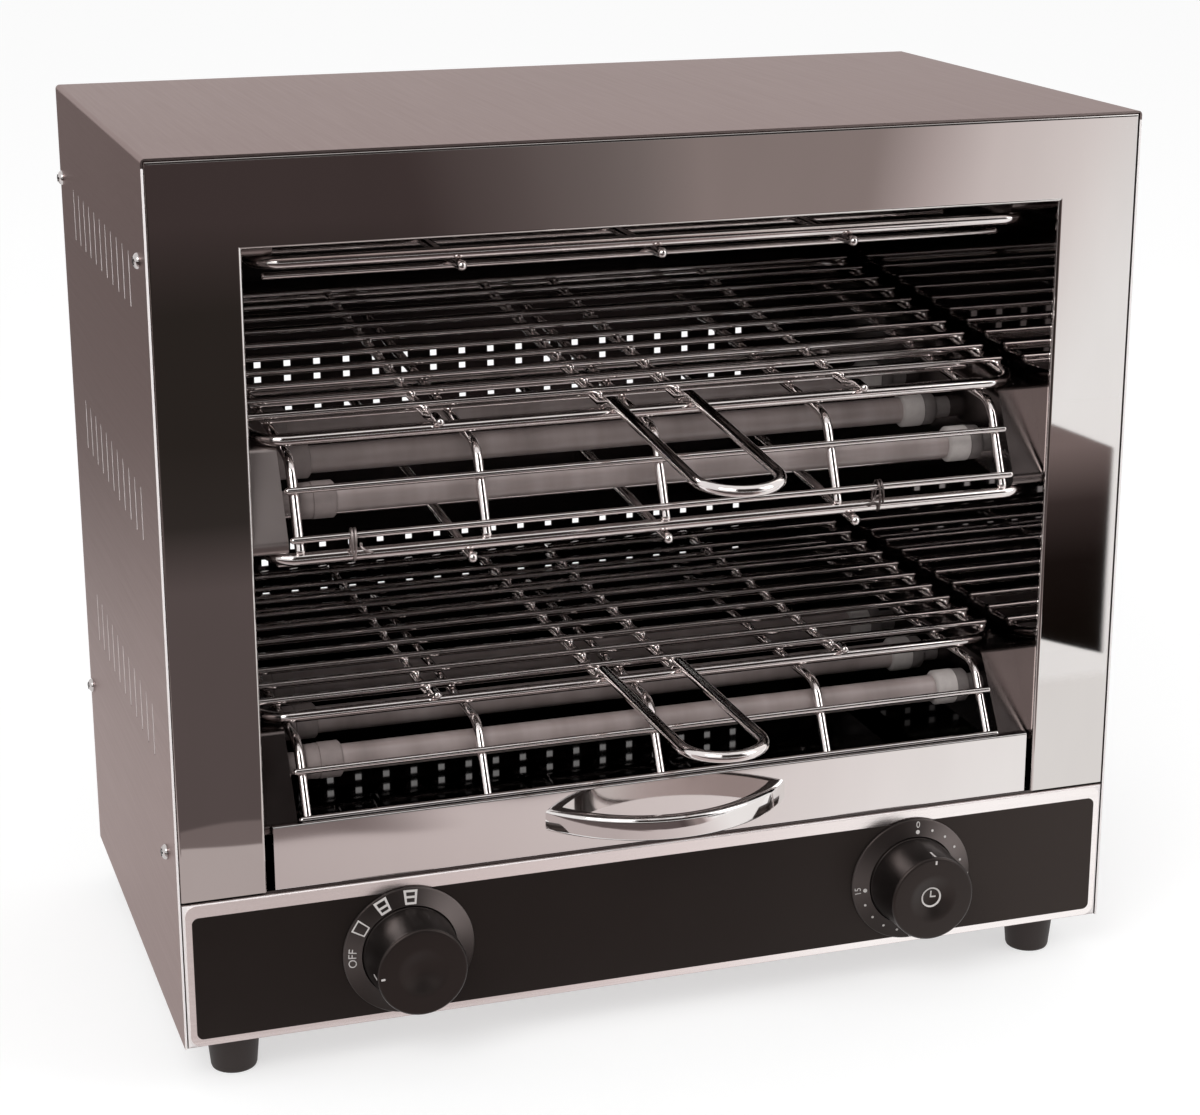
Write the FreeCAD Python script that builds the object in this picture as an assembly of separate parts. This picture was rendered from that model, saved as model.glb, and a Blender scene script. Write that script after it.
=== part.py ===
import FreeCAD, Part
import math
import os

# Two-deck quartz grill toaster for a counter, all lengths in millimetres.
# X points to the right, Y to the back and Z up. The origin is on the counter,
# under the middle of the whole object.

V = FreeCAD.Vector
same_place = 0.01
os.makedirs("parts", exist_ok=True)

# Body
body_width = 450.0
body_depth = 255.0
body_height = 393.0
casing_sheet = 1.0
casing_bend = 2.0
panel_sheet = 1.0
panel_bend = 1.5
flange = 15.0
foot_flange = 40.0
fit_gap = 0.2

# Front opening and control panel
stile_width = 39.5
header_height = 39.0
top_return_depth = 12.0
side_return_gap = 0.15
control_height = 69.0
control_seam = 1.0

# Inner box
wall_sheet = 0.8
roof_space = 8.0
floor_sheet = 1.0

# Feet
foot_height = 22.0
foot_top_diameter = 25.0
foot_base_diameter = 21.0
foot_inset_side = 25.4
foot_inset_end = 23.0
foot_recess_diameter = 11.0
foot_recess_depth = 14.0
foot_screw_diameter = 5.0
foot_screw_head = 9.0
foot_screw_head_height = 3.5
foot_nut_height = 4.0
foot_screw_past_nut = 1.0
foot_sides = 24
foot_recess_sides = 12

# Cooling slots in the casing sides
slot_count = 11
slot_pitch = 16.6
slot_width = 1.8
slot_height = 24.0
slot_taper = 5.0
slot_row_drops = (44.5, 147.0, 246.0)

# Vent holes in the back
vent_hole = 3.6
vent_columns = 18
vent_column_pitch = 15.5
vent_rows = 4
vent_row_pitch = 7.7
vent_low_group_height = 126.3
vent_high_group_drop = 168.6

# Screws in sheet metal
screw_head_diameter = 7.0
screw_head_height = 2.6
screw_shank_diameter = 3.5
screw_shank_length = 8.0
screw_sides = 8
hexagon_share = math.cos(math.pi / 6)
casing_screw_front_inset = 17.0
casing_screw_low_front_inset = 24.0
casing_screw_back_inset = 7.5
casing_screw_top_drop = 44.0
casing_screw_low_height = 85.0
casing_screw_low_back_height = 87.0
back_screw_inset = 60.0

# Wire racks
rack_wire = 5.0
cross_wire = 3.5
depth_wire = 4.0
rack_side_gap = 3.5
rack_depth_margin = 36.0
rack_corner = 15.0
tip_reach = 7.0
upper_first_cross = 28.3
lower_first_cross = 18.8
cross_pitch = 20.4
cross_count = 10
depth_wire_spread = 199.0
wire_flats = 8
rack_tilt = 5.0
seat_gap = 0.3

# Rack handles
handle_wire = 5.0
handle_width = 36.8
handle_reach = 113.0
kink_bend = 6.0
kink_before_cross = 4.5

# Heater decks, measured from the lowest front wire of each guard
lower_deck_inset = 4.6
lower_deck_height = 141.5
middle_deck_inset = -1.7
middle_deck_drop = 123.3
lower_rack_inset = 22.7
upper_rack_inset = 15.3

# Guard grids over the heater banks
guard_wire = 3.0
guard_leg_wire = 4.5
guard_leg_count = 5
guard_leg_inset = 3.0
guard_front_inset = 2.0
guard_drop = 41.5
guard_mid_drop = 22.7
guard_mid_inset = 9.9
guard_leg_tail = 4.0
guard_leg_bend = 12.0
guard_first_cross = 39.5
guard_cross_count = 9
guard_back_space = 8.0
guard_short_of_bracket = 17.1

# Guards under the heater banks
under_wire = 5.5
under_depth_wire = 4.5
under_side_gap = 5.5
under_corner = 12.0
under_back_space = 17.0
under_depth_spread = 180.0
under_tip = 4.0
under_cross_first = 18.0
under_cross_pitch = 57.0
under_cross_count = 4
under_cross_inset = 9.5
middle_under_inset = 1.6
top_under_inset = 14.9
top_under_drop = 48.0

# Heater brackets
bracket_sheet = 1.0
bracket_width = 16.5
bracket_back_gap = 12.0
bracket_foot = 48.0
bracket_shoulder = 43.0
bracket_nose = 0.5
bracket_slope_run = 22.8
bracket_corner = 4.0
bracket_inner_corner = 0.5

# Quartz heaters
tube_diameter = 12.5
tube_wall = 1.2
tube_count = 3
tube_inset = 24.0
tube_pitch = 51.0
middle_tube_drop = 33.0
lower_tube_drop = 24.0
top_tube_rise = 21.0
top_tube_inset = 10.0
coil_diameter = 6.0
cap_diameter = 16.5
cap_length = 17.0
cap_stand_off = 8.0
spigot_diameter = 10.0
spigot_length = 6.0
ceramic_sides = 12
coil_sides = 6

# Ties between the middle guard and the guard under it
tie_wire = 1.4
tie_gap = 0.15
tie_from_outer_leg = 23.0
tie_from_depth_wire = 12.0
tie_tail = 7.0

# Crumb tray
tray_gap = 0.3
tray_sheet = 0.8
tray_side_gap = 3.5
tray_pan_inset = 3.0
tray_back_gap = 15.0
tray_pan_height = 19.0
tray_front_height = 29.7
tray_hem = 9.0

# Tray handle
bow_span = 116.0
bow_reach = 28.0
bow_height = 11.0
bow_end_length = 8.0
bow_thickness = 4.5
bow_chamfer = 2.0
bow_rise = 16.7
bow_screw_diameter = 3.5
bow_screw_head = 7.0
bow_screw_head_height = 2.0
tray_bend_share = 0.9

# Dials and knobs
dial_inset = 102.0
dial_height = 34.0
dial_outer_diameter = 60.5
dial_inner_diameter = 44.0
dial_thickness = 3.0
dial_rim_thickness = 1.6
knob_base_diameter = 43.0
knob_face_diameter = 40.0
knob_reach = 27.0
knob_skirt = 3.0
knob_skirt_slope = 1.0
knob_back_gap = 0.5
knob_edge = 4.0
knob_dish_diameter = 28.0
knob_dish_floor = 12.0
knob_dish_depth = 2.5
knob_recess_diameter = 18.0
knob_recess_gap = 3.0
knob_socket_gap = 0.05

# Panel label and its dark film
label_side_space = 2.7
label_edge_space = 1.0
label_corner = 5.0
label_thickness = 0.6
film_side_border = 2.8
film_low_border = 3.3
film_top_border = 5.7
film_corner = 3.0
film_thickness = 0.3

# Selector switch, timer and their shafts
shaft_diameter = 6.0
shaft_gap = 0.05
bushing_diameter = 10.0
bushing_nut_width = 14.0
bushing_nut_height = 2.5
switch_width = 36.0
switch_depth = 34.0
timer_width = 46.0
timer_depth = 38.0
shaft_inside = 16.0
shaft_end_gap = 1.0
shaft_in_knob = 14.0
shaft_flat_share = 0.6
case_corner_share = 0.1
terminal_width = 6.0
terminal_length = 7.0
terminal_sheet = 0.8

# Mains terminal block and cable gland
block_width = 46.0
block_depth = 20.0
block_height = 17.0
block_screws = 3
block_screw_diameter = 6.0
block_screw_depth = 4.0
block_entry_width = 4.0
block_entry_depth = 7.0
block_entry_low = 4.0
block_entry_height = 5.0
block_inset = 58.0
gland_inset = 60.0
gland_height = 30.0
gland_bore = 8.5
gland_body_diameter = 16.0
gland_nut_width = 22.0
gland_nut_height = 5.0
gland_cap_diameter = 19.0
gland_reach = 13.0
gland_cap_chamfer = 3.5
gland_inside = 9.0

# Levels and planes that follow from the sizes above
body_bottom = foot_height
body_top = body_bottom + body_height
half_width = body_width / 2
opening_width = body_width - 2 * stile_width
half_opening = opening_width / 2
opening_bottom = body_bottom + control_height + control_seam
opening_top = body_top - header_height
floor_top = body_bottom + control_height + floor_sheet
roof_bottom = body_top - roof_space - wall_sheet
inner_half = half_opening + panel_sheet
shell_half = half_width - casing_sheet
shell_top = body_top - casing_sheet
tilt_radians = math.radians(rack_tilt)
bracket_face = inner_half - bracket_width
bracket_length = body_depth - bracket_back_gap
middle_deck_height = body_height - middle_deck_drop
top_under_height = body_height - top_under_drop
dial_spread = body_width - 2 * dial_inset
gland_offset = half_width - gland_inset

# Lengths that follow the opening and the depth of the body
rack_width = opening_width - 2 * rack_side_gap
rack_length = body_depth - rack_depth_margin
guard_front_length = 2 * (bracket_face - guard_front_inset)
guard_leg_spread = guard_front_length - 2 * guard_leg_inset
guard_length = bracket_length - guard_short_of_bracket
guard_cross_pitch = (guard_length - guard_first_cross - guard_back_space) / (guard_cross_count - 1)
under_width = opening_width - 2 * under_side_gap
under_length = bracket_length - under_back_space
under_cross_length = under_width - 2 * under_cross_inset
label_width = body_width - 2 * label_side_space
label_height = control_height - 2 * label_edge_space
film_width = label_width - 2 * film_side_border
film_height = label_height - film_low_border - film_top_border

# The frame's side returns end just in front of the tilted brackets
bracket_front = middle_deck_inset + bracket_nose * math.cos(tilt_radians)
side_return_depth = bracket_front + bracket_shoulder * math.sin(tilt_radians) - side_return_gap

# Heights inside a deck, from the middle of the rack's cross wires
rack_frame_level = -(cross_wire + rack_wire) / 2
rack_seat_level = rack_frame_level - rack_wire / 2 - seat_gap
guard_cross_level = rack_seat_level - guard_wire / 2
guard_leg_level = guard_cross_level - (guard_wire + guard_leg_wire) / 2
under_level = -bracket_foot - under_wire / 2

# The whole object is centred between the upper handle's end and the gland's end
handle_end = upper_rack_inset - handle_reach
front_reach = middle_deck_inset + handle_end * math.cos(tilt_radians)
handle_level = rack_frame_level + (rack_wire + handle_wire) / 2
front_reach = front_reach - handle_level * math.sin(tilt_radians) - handle_wire / 2
front_y = -(front_reach + body_depth + gland_reach) / 2
back_y = front_y + body_depth


def box(x0, x1, y0, y1, z0, z1):
    return Part.makeBox(x1 - x0, y1 - y0, z1 - z0, V(x0, y0, z0))


def cylinder_y(radius, x, z, y0, y1):
    return Part.makeCylinder(radius, y1 - y0, V(x, y0, z), V(0, 1, 0))


def cylinder_z(radius, x, y, z0, z1):
    return Part.makeCylinder(radius, z1 - z0, V(x, y, z0), V(0, 0, 1))


def is_at(value, place):
    return abs(value - place) < same_place


def fuse(shapes):
    return shapes[0].fuse(shapes[1:]).removeSplitter()


def save(shape, node):
    shape.exportStep("parts/" + node + ".step")


def both_sides(shape):
    return shape.mirror(V(0, 0, 0), V(1, 0, 0))


def polygon_ring(sides, across, centre, axis, start):
    # A regular outline with one flat square to the start direction
    corner = across / 2 / math.cos(math.pi / sides)
    side = axis.cross(start)
    points = []
    for i in range(sides + 1):
        angle = math.pi * (2 * i + 1) / sides
        points.append(centre + start * (corner * math.cos(angle)) + side * (corner * math.sin(angle)))
    return Part.makePolygon(points)


def bar(sides, across, begin, end, start):
    # A straight bar between two points, round enough for its count of sides
    run = end - begin
    axis = V(run)
    axis.normalize()
    return Part.Face(polygon_ring(sides, across, begin, axis, start)).extrude(run)


def bar_x(across, x0, x1, y, z, sides=wire_flats):
    return bar(sides, across, V(x0, y, z), V(x1, y, z), V(0, 0, 1))


def rounded_path(points, radii, closed=False):
    # Straight runs through the points, joined by tangent arcs at the inner ones
    count = len(points)
    ends = []
    edges = []
    for i in range(count):
        if not closed and i in (0, count - 1):
            ends.append((points[i], points[i]))
            continue
        before = points[i - 1] - points[i]
        after = points[(i + 1) % count] - points[i]
        turn = math.pi - before.getAngle(after)
        before.normalize()
        after.normalize()
        cut = radii[i] * math.tan(turn / 2)
        ends.append((points[i] + before * cut, points[i] + after * cut))
        bisector = before + after
        bisector.normalize()
        middle = points[i] + bisector * (math.hypot(cut, radii[i]) - radii[i])
        edges.append((i, Part.Arc(ends[i][0], middle, ends[i][1]).toShape()))
    arcs = dict(edges)
    wire = []
    for i in range(count):
        if i in arcs:
            wire.append(arcs[i])
        if i < count - 1 or closed:
            begin = ends[i][1]
            end = ends[(i + 1) % count][0]
            if begin.distanceToPoint(end) > 0.001:
                wire.append(Part.LineSegment(begin, end).toShape())
    return Part.Wire(Part.__sortEdges__(wire))


def bent_wire(points, radii, across, start, closed=False):
    # A wire of one thickness along a path that lies in one plane
    path = rounded_path(points, radii, closed)
    begin = path.Edges[0].firstVertex().Point
    tangent = path.Edges[0].tangentAt(path.Edges[0].FirstParameter)
    ring = polygon_ring(wire_flats, across, begin, tangent, start)
    return path.makePipeShell([ring], True, False)


def outline_face(points, radii):
    return Part.Face(rounded_path(points, radii, True))


def turned(profile, centre, axis):
    # A solid of revolution from (distance along the axis, radius) pairs
    side = V(0, 0, 1)
    points = [centre + axis * along + side * radius for along, radius in profile]
    points.append(points[0])
    return Part.Face(Part.makePolygon(points)).revolve(centre, axis, 360)


def screw(x, y, z, direction):
    # The head stands on the point given and the shank runs into the sheet
    start = V(0, 0, 1)
    if abs(direction.z) > 0.5:
        start = V(1, 0, 0)
    base = V(x, y, z)
    head = bar(screw_sides, screw_head_diameter, base, base + direction * screw_head_height, start)
    shank = bar(screw_sides, screw_shank_diameter, base - direction * screw_shank_length, base, start)
    return head.fuse(shank).removeSplitter()


def folded_pan(x0, x1, z0, z1, face, inward, depth, bottom_depth):
    # A face sheet with a flange folded inward along each side
    back = face + inward * depth
    y0, y1 = sorted((face, back))
    pan = box(x0, x1, y0, y1, z0, z1)
    edges = [e for e in pan.Edges if is_at(e.CenterOfMass.y, face)]
    pan = pan.makeFillet(panel_bend, edges)
    y0, y1 = sorted((face + inward * panel_sheet, back))
    s = panel_sheet
    pan = pan.cut(box(x0 + s, x1 - s, y0, y1, z0 + s, z1 - s))
    if bottom_depth > depth:
        y0, y1 = sorted((back, face + inward * bottom_depth))
        pan = pan.fuse(box(x0, x1, y0, y1, z0, z0 + s)).removeSplitter()
    return pan


# Places of the sheet metal screws
def casing_screws():
    z_top = body_top - casing_screw_top_drop
    z_low = body_bottom + casing_screw_low_height
    z_back = body_bottom + casing_screw_low_back_height
    y_back = back_y - casing_screw_back_inset
    screws = []
    for y, z in ((front_y + casing_screw_front_inset, z_top), (front_y + casing_screw_low_front_inset, z_low),
                 (y_back, z_top), (y_back, z_back)):
        for side in (-1, 1):
            screws.append(screw(side * half_width, y, z, V(side, 0, 0)))
    return screws


def back_screws():
    screws = []
    reach = half_width - back_screw_inset
    for x in (-reach, 0, reach):
        for z in (floor_top + flange, roof_bottom - flange):
            screws.append(screw(x, back_y, z, V(0, 1, 0)))
    return screws


# Sheet metal body
def outer_casing():
    shell = box(-half_width, half_width, front_y, back_y, body_bottom, body_top)
    top_edges = [e for e in shell.Edges if is_at(e.CenterOfMass.z, body_top)
                 and is_at(abs(e.CenterOfMass.x), half_width)]
    shell = shell.makeFillet(casing_bend, top_edges)
    shell = shell.cut(box(-shell_half, shell_half, front_y, back_y, body_bottom, shell_top))
    middle_y = (front_y + back_y) / 2
    first = middle_y - slot_pitch * (slot_count - 1) / 2
    half = slot_width / 2
    cutters = []
    for drop in slot_row_drops:
        z1 = body_top - drop
        z0 = z1 - slot_height
        for i in range(slot_count):
            y = first + slot_pitch * i
            points = [V(-half_width, y - half, z0), V(-half_width, y + half, z0),
                      V(-half_width, y + half, z1 - slot_taper), V(-half_width, y + half / 2, z1),
                      V(-half_width, y - half / 2, z1), V(-half_width, y - half, z1 - slot_taper)]
            points.append(points[0])
            cutters.append(Part.Face(Part.makePolygon(points)).extrude(V(body_width, 0, 0)))
    return shell.cut(cutters)


def front_frame():
    s = panel_sheet
    z0 = opening_bottom
    y1 = front_y + flange
    frame = box(-shell_half, shell_half, front_y, y1, z0, shell_top)
    edges = [e for e in frame.Edges if is_at(e.CenterOfMass.y, front_y) and not is_at(e.CenterOfMass.z, z0)]
    frame = frame.makeFillet(panel_bend, edges)
    frame = frame.cut(box(-shell_half + s, shell_half - s, front_y + s, y1, z0, shell_top - s))
    z1 = opening_top + s
    side_lip = box(-inner_half, inner_half, front_y, front_y + side_return_depth, z0, z1)
    top_lip = box(-inner_half, inner_half, front_y, front_y + top_return_depth, opening_top, z1)
    frame = frame.fuse([side_lip, top_lip])
    frame = frame.cut(box(-half_opening, half_opening, front_y, y1, z0, opening_top)).removeSplitter()
    lip_edges = []
    for e in frame.Edges:
        c = e.CenterOfMass
        side_edge = is_at(abs(c.x), half_opening)
        top_edge = is_at(c.z, opening_top) and is_at(c.x, 0)
        if is_at(c.y, front_y) and (side_edge or top_edge):
            lip_edges.append(e)
    return frame.makeFillet(panel_bend, lip_edges)


def control_panel():
    z1 = body_bottom + control_height
    pan = folded_pan(-shell_half, shell_half, body_bottom, z1, front_y, 1, flange, foot_flange)
    holes = []
    for x in (-dial_spread / 2, dial_spread / 2):
        hole_radius = bushing_diameter / 2 + fit_gap / 2
        holes.append(cylinder_y(hole_radius, x, body_bottom + dial_height, front_y, front_y + panel_sheet))
    for side in (-1, 1):
        x = side * (half_width - foot_inset_side)
        holes.append(foot_screw_hole(x, front_y + foot_inset_end))
    return pan.cut(holes)


def foot_screw_hole(x, y):
    z1 = body_bottom + 3 * panel_sheet
    return cylinder_z((foot_screw_diameter + fit_gap) / 2, x, y, body_bottom, z1)


def back_panel():
    pan = folded_pan(-shell_half, shell_half, body_bottom, shell_top, back_y, -1, flange, foot_flange)
    cutters = []
    first = -vent_column_pitch * (vent_columns - 1) / 2
    for bottom in (body_bottom + vent_low_group_height, body_top - vent_high_group_drop):
        for row in range(vent_rows):
            z = bottom + vent_row_pitch * row
            for column in range(vent_columns):
                x = first + vent_column_pitch * column
                h = vent_hole / 2
                cutters.append(box(x - h, x + h, back_y - panel_sheet, back_y, z - h, z + h))
    gland_radius = (gland_body_diameter + fit_gap) / 2
    gland_z = body_bottom + gland_height
    cutters.append(cylinder_y(gland_radius, gland_offset, gland_z, back_y - panel_sheet, back_y))
    for side in (-1, 1):
        cutters.append(foot_screw_hole(side * (half_width - foot_inset_side), back_y - foot_inset_end))
    return pan.cut(cutters)


def base_plate():
    s = panel_sheet
    z0 = body_bottom + s
    plate = box(-shell_half + s, shell_half - s, front_y + s, back_y - s, z0, z0 + s)
    cutters = []
    for side in (-1, 1):
        for y in (front_y + foot_inset_end, back_y - foot_inset_end):
            cutters.append(foot_screw_hole(side * (half_width - foot_inset_side), y))
    reach = slot_pitch * (slot_count - 1) / 2
    y0 = (front_y + back_y) / 2 - slot_height
    y1 = (front_y + back_y) / 2 + slot_height
    for i in range(slot_count):
        x = slot_pitch * i - reach
        cutters.append(box(x - slot_width, x + slot_width, y0, y1, z0, z0 + s))
    return plate.cut(cutters)


def cavity_floor():
    z0 = body_bottom + control_height
    half = inner_half + wall_sheet
    return box(-half, half, front_y + panel_sheet, back_y - panel_sheet, z0, floor_top)


def inner_wall():
    y0 = front_y + panel_sheet
    return box(inner_half, inner_half + wall_sheet, y0, back_y - panel_sheet, floor_top, roof_bottom)


def cavity_roof():
    half = inner_half + wall_sheet
    y0 = front_y + panel_sheet
    return box(-half, half, y0, back_y - panel_sheet, roof_bottom, roof_bottom + wall_sheet)


# A shape built about a deck's origin is stood in its place
def lower_deck(shape):
    moved = shape.copy()
    moved.translate(V(0, front_y + lower_deck_inset, body_bottom + lower_deck_height))
    return moved


def middle_deck(shape):
    moved = shape.copy()
    moved.rotate(V(0, 0, 0), V(1, 0, 0), rack_tilt)
    moved.translate(V(0, front_y + middle_deck_inset, body_bottom + middle_deck_height))
    return moved


# Wire racks, with the tips of the wires at inset and the cross wires at level 0
def rack_grid(inset, first):
    half = rack_width / 2 - rack_wire / 2
    y0 = inset + tip_reach
    y1 = inset + rack_length
    z = rack_frame_level
    middle = V(0, y0, z)
    corners = [middle, V(half, y0, z), V(half, y1, z), V(-half, y1, z), V(-half, y0, z)]
    radii = [0, rack_corner, rack_corner, rack_corner, rack_corner]
    wires = [ring_wire(corners, radii, rack_wire)]
    for i in range(cross_count):
        y = inset + first + cross_pitch * i
        wires.append(bar_x(cross_wire, -rack_width / 2, rack_width / 2, y, 0))
    for side in (-1, 1):
        wires.append(over_front_wire(side * depth_wire_spread / 2, inset, first, depth_wire))
    return Part.makeCompound(wires)


def ring_wire(points, radii, across):
    # A closed wire that starts in the middle of its front run
    loop = points[1:]
    arcs = rounded_path(loop, radii[1:], True)
    tangent = V(1, 0, 0)
    ring = polygon_ring(wire_flats, across, points[0], tangent, V(0, 0, 1))
    first = points[0]
    edges = []
    for e in arcs.Edges:
        ends = [v.Point for v in e.Vertexes]
        on_front = all(abs(p.y - first.y) < 0.001 for p in ends)
        if on_front:
            left, right = sorted(ends, key=lambda p: p.x)
            edges.insert(0, Part.LineSegment(first, right).toShape())
            edges.append(Part.LineSegment(left, first).toShape())
        else:
            edges.append(e)
    path = Part.Wire(Part.__sortEdges__(edges))
    return path.makePipeShell([ring], True, False)


def over_front_wire(x, inset, first, across):
    # A depth wire lies under the cross wires and rises over the front wire
    low = -(cross_wire + across) / 2
    high = rack_frame_level + (rack_wire + across) / 2
    y_front = inset + tip_reach
    points = [V(x, inset + rack_length - rack_wire / 2, low), V(x, inset + first - kink_before_cross, low),
              V(x, y_front + rack_wire / 2, high), V(x, inset, high)]
    return bent_wire(points, [0, kink_bend, kink_bend, 0], across, V(0, 0, 1))


def rack_handle(inset, first):
    half = handle_width / 2
    low = -(cross_wire + handle_wire) / 2
    high = rack_frame_level + (rack_wire + handle_wire) / 2
    y_front = inset + tip_reach
    bend_y = inset - handle_reach + half
    legs = []
    for side in (-1, 1):
        x = side * half
        points = [V(x, inset + rack_length - rack_wire / 2, low), V(x, inset + first - kink_before_cross, low),
                  V(x, y_front + rack_wire / 2, high), V(x, bend_y, high)]
        legs.append(bent_wire(points, [0, kink_bend, kink_bend, 0], handle_wire, V(0, 0, 1)))
    turn = Part.Arc(V(half, bend_y, high), V(0, bend_y - half, high), V(-half, bend_y, high))
    loop = Part.Wire([turn.toShape()])
    ring = polygon_ring(wire_flats, handle_wire, V(half, bend_y, high), V(0, -1, 0), V(0, 0, 1))
    legs.append(loop.makePipeShell([ring], True, False))
    return fuse(legs)


# Guard grid over a heater bank: level wires above, sloping legs in front
def guard_grid():
    slope = V(0, guard_mid_inset, guard_drop - guard_mid_drop)
    slope.normalize()
    outward = V(0, slope.z, -slope.y)
    shift = (guard_wire + guard_leg_wire) / 2
    foot = V(0, 0, -guard_drop) + outward * shift - slope * guard_leg_tail
    rise = (guard_leg_level - foot.z) / slope.z
    corner = foot + slope * rise
    back = V(0, guard_length, guard_leg_level)
    wires = []
    for i in range(guard_leg_count):
        x = guard_leg_spread * (i / (guard_leg_count - 1) - 0.5)
        points = [p + V(x, 0, 0) for p in (foot, corner, back)]
        wires.append(bent_wire(points, [0, guard_leg_bend, 0], guard_leg_wire, outward))
    half = guard_front_length / 2
    wires.append(slanted_bar(half, V(0, 0, -guard_drop), outward))
    wires.append(slanted_bar(half, V(0, guard_mid_inset, -guard_mid_drop), outward))
    for i in range(guard_cross_count):
        y = guard_first_cross + guard_cross_pitch * i
        wires.append(bar_x(guard_wire, -bracket_face, bracket_face, y, guard_cross_level))
    return Part.makeCompound(wires)


def slanted_bar(half, centre, flat):
    return bar(wire_flats, guard_wire, centre - V(half, 0, 0), centre + V(half, 0, 0), flat)


# Guard under a heater bank, from the middle of its front wire
def under_guard():
    half = (under_width - under_wire) / 2
    y1 = under_length
    corners = [V(0, 0, 0), V(half, 0, 0), V(half, y1, 0), V(-half, y1, 0), V(-half, 0, 0)]
    radii = [0, under_corner, under_corner, under_corner, under_corner]
    wires = [ring_wire(corners, radii, under_wire)]
    depth_level = -(under_wire + under_depth_wire) / 2
    cross_level = depth_level - (under_depth_wire + guard_wire) / 2
    y0 = -under_wire / 2 - under_tip
    for x in (-under_depth_spread / 2, 0, under_depth_spread / 2):
        wires.append(bar(wire_flats, under_depth_wire, V(x, y0, depth_level),
                         V(x, under_length, depth_level), V(0, 0, 1)))
    reach = under_cross_length / 2
    for i in range(under_cross_count):
        y = under_cross_first + under_cross_pitch * i
        wires.append(bar_x(guard_wire, -reach, reach, y, cross_level))
    return Part.makeCompound(wires)


def middle_under_guard():
    shape = under_guard()
    shape.translate(V(0, middle_under_inset, under_level))
    return shape


# Heater brackets: an open-backed channel whose front slopes like the guard
def bracket(points, radii, tube_places):
    outer = outline_face(points, radii)
    outer.translate(V(bracket_face, 0, 0))
    channel = outer.extrude(V(bracket_width, 0, 0))
    inner_radii = [max(r - bracket_sheet, bracket_inner_corner) for r in radii]
    inner = outline_face(inset_outline(points, bracket_sheet), inner_radii)
    x1 = bracket_face + bracket_sheet
    inner.translate(V(x1, 0, 0))
    channel = channel.cut(inner.extrude(V(bracket_width, 0, 0)))
    holes = []
    for y, z in tube_places:
        holes.append(bar_x(spigot_diameter + fit_gap, bracket_face, x1, y, z, ceramic_sides))
    return channel.cut(holes)


def inset_outline(points, distance):
    # Moves each side of a convex outline in the YZ plane inward
    count = len(points)
    centre = V(0, 0, 0)
    for p in points:
        centre = centre + p / count
    lines = []
    for i in range(count):
        run = points[(i + 1) % count] - points[i]
        run.normalize()
        normal = V(0, run.z, -run.y)
        if normal.dot(centre - points[i]) < 0:
            normal = -normal
        lines.append((points[i] + normal * distance, run))
    result = []
    for i in range(count):
        p, d = lines[i - 1]
        q, e = lines[i]
        across = d.y * e.z - d.z * e.y
        t = ((q.y - p.y) * e.z - (q.z - p.z) * e.y) / across
        result.append(p + d * t)
    return result


def deck_bracket(tube_drop):
    points = [V(0, bracket_nose, -bracket_foot), V(0, bracket_nose, -bracket_shoulder),
              V(0, bracket_nose + bracket_slope_run, rack_seat_level), V(0, bracket_length, rack_seat_level),
              V(0, bracket_length, -bracket_foot)]
    radii = [bracket_corner, bracket_corner, bracket_corner, bracket_corner, bracket_corner]
    radii[0] = (bracket_foot - bracket_shoulder) / 2
    return bracket(points, radii, tube_rows(tube_inset, -tube_drop))


def top_bracket():
    z0 = body_bottom + top_under_height + under_wire / 2
    z1 = roof_bottom
    y0 = front_y + top_under_inset
    y1 = front_y + bracket_length
    points = [V(0, y0, z0), V(0, y0, z1), V(0, y1, z1), V(0, y1, z0)]
    return bracket(points, [bracket_corner] * len(points), top_tube_rows())


def tube_rows(first, level):
    return [(first + tube_pitch * i, level) for i in range(tube_count)]


def top_tube_rows():
    level = body_bottom + top_under_height + top_tube_rise
    return tube_rows(front_y + top_under_inset + top_tube_inset, level)


# Quartz tubes with their coils and ceramic ends
cap_outer = bracket_face - cap_stand_off
cap_inner = cap_outer - cap_length


def quartz_tube(y, z):
    tube = bar_x(tube_diameter, -cap_inner, cap_inner, y, z, ceramic_sides)
    return tube.cut(bar_x(tube_diameter - 2 * tube_wall, -cap_inner, cap_inner, y, z, ceramic_sides))


def heating_coil(y, z):
    return bar_x(coil_diameter, -cap_inner, cap_inner, y, z, coil_sides)


def ceramic_caps(rows):
    caps = []
    end = bracket_face + bracket_sheet + spigot_length
    for y, z in rows:
        for side in (-1, 1):
            cap = bar_x(cap_diameter, side * cap_inner, side * cap_outer, y, z, ceramic_sides)
            spigot = bar_x(spigot_diameter, side * cap_outer, side * end, y, z, ceramic_sides)
            caps.append(cap.fuse(spigot).removeSplitter())
    return Part.makeCompound(caps)


# Wire ties that hold the guard under the middle bank to the grid above it
def guard_ties():
    gap = tie_wire / 2 + tie_gap
    top = V(0, 0, -guard_drop)
    low = V(0, middle_under_inset, under_level)
    ties = []
    left = -guard_leg_spread / 2 + tie_from_outer_leg
    right = under_depth_spread / 2 + tie_from_depth_wire
    for x in (left, right):
        z1 = top.z + guard_wire / 2 + gap
        z0 = low.z - under_wire / 2 - gap
        y0 = min(top.y - guard_wire / 2, low.y - under_wire / 2) - gap
        y1 = max(top.y + guard_wire / 2, low.y + under_wire / 2) + gap
        points = [V(x, y0, z0 - tie_tail), V(x, y0, z1), V(x, y1, z1), V(x, y1, z0),
                  V(x, y0 + 2 * tie_wire, z0)]
        bend = tie_wire
        ties.append(bent_wire(points, [0, bend, bend, bend, 0], tie_wire, V(1, 0, 0)))
    return Part.makeCompound(ties)


# Crumb tray
tray_bottom = floor_top + tray_gap
tray_half = half_opening - tray_side_gap
tray_front_top = tray_bottom + tray_front_height


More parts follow.
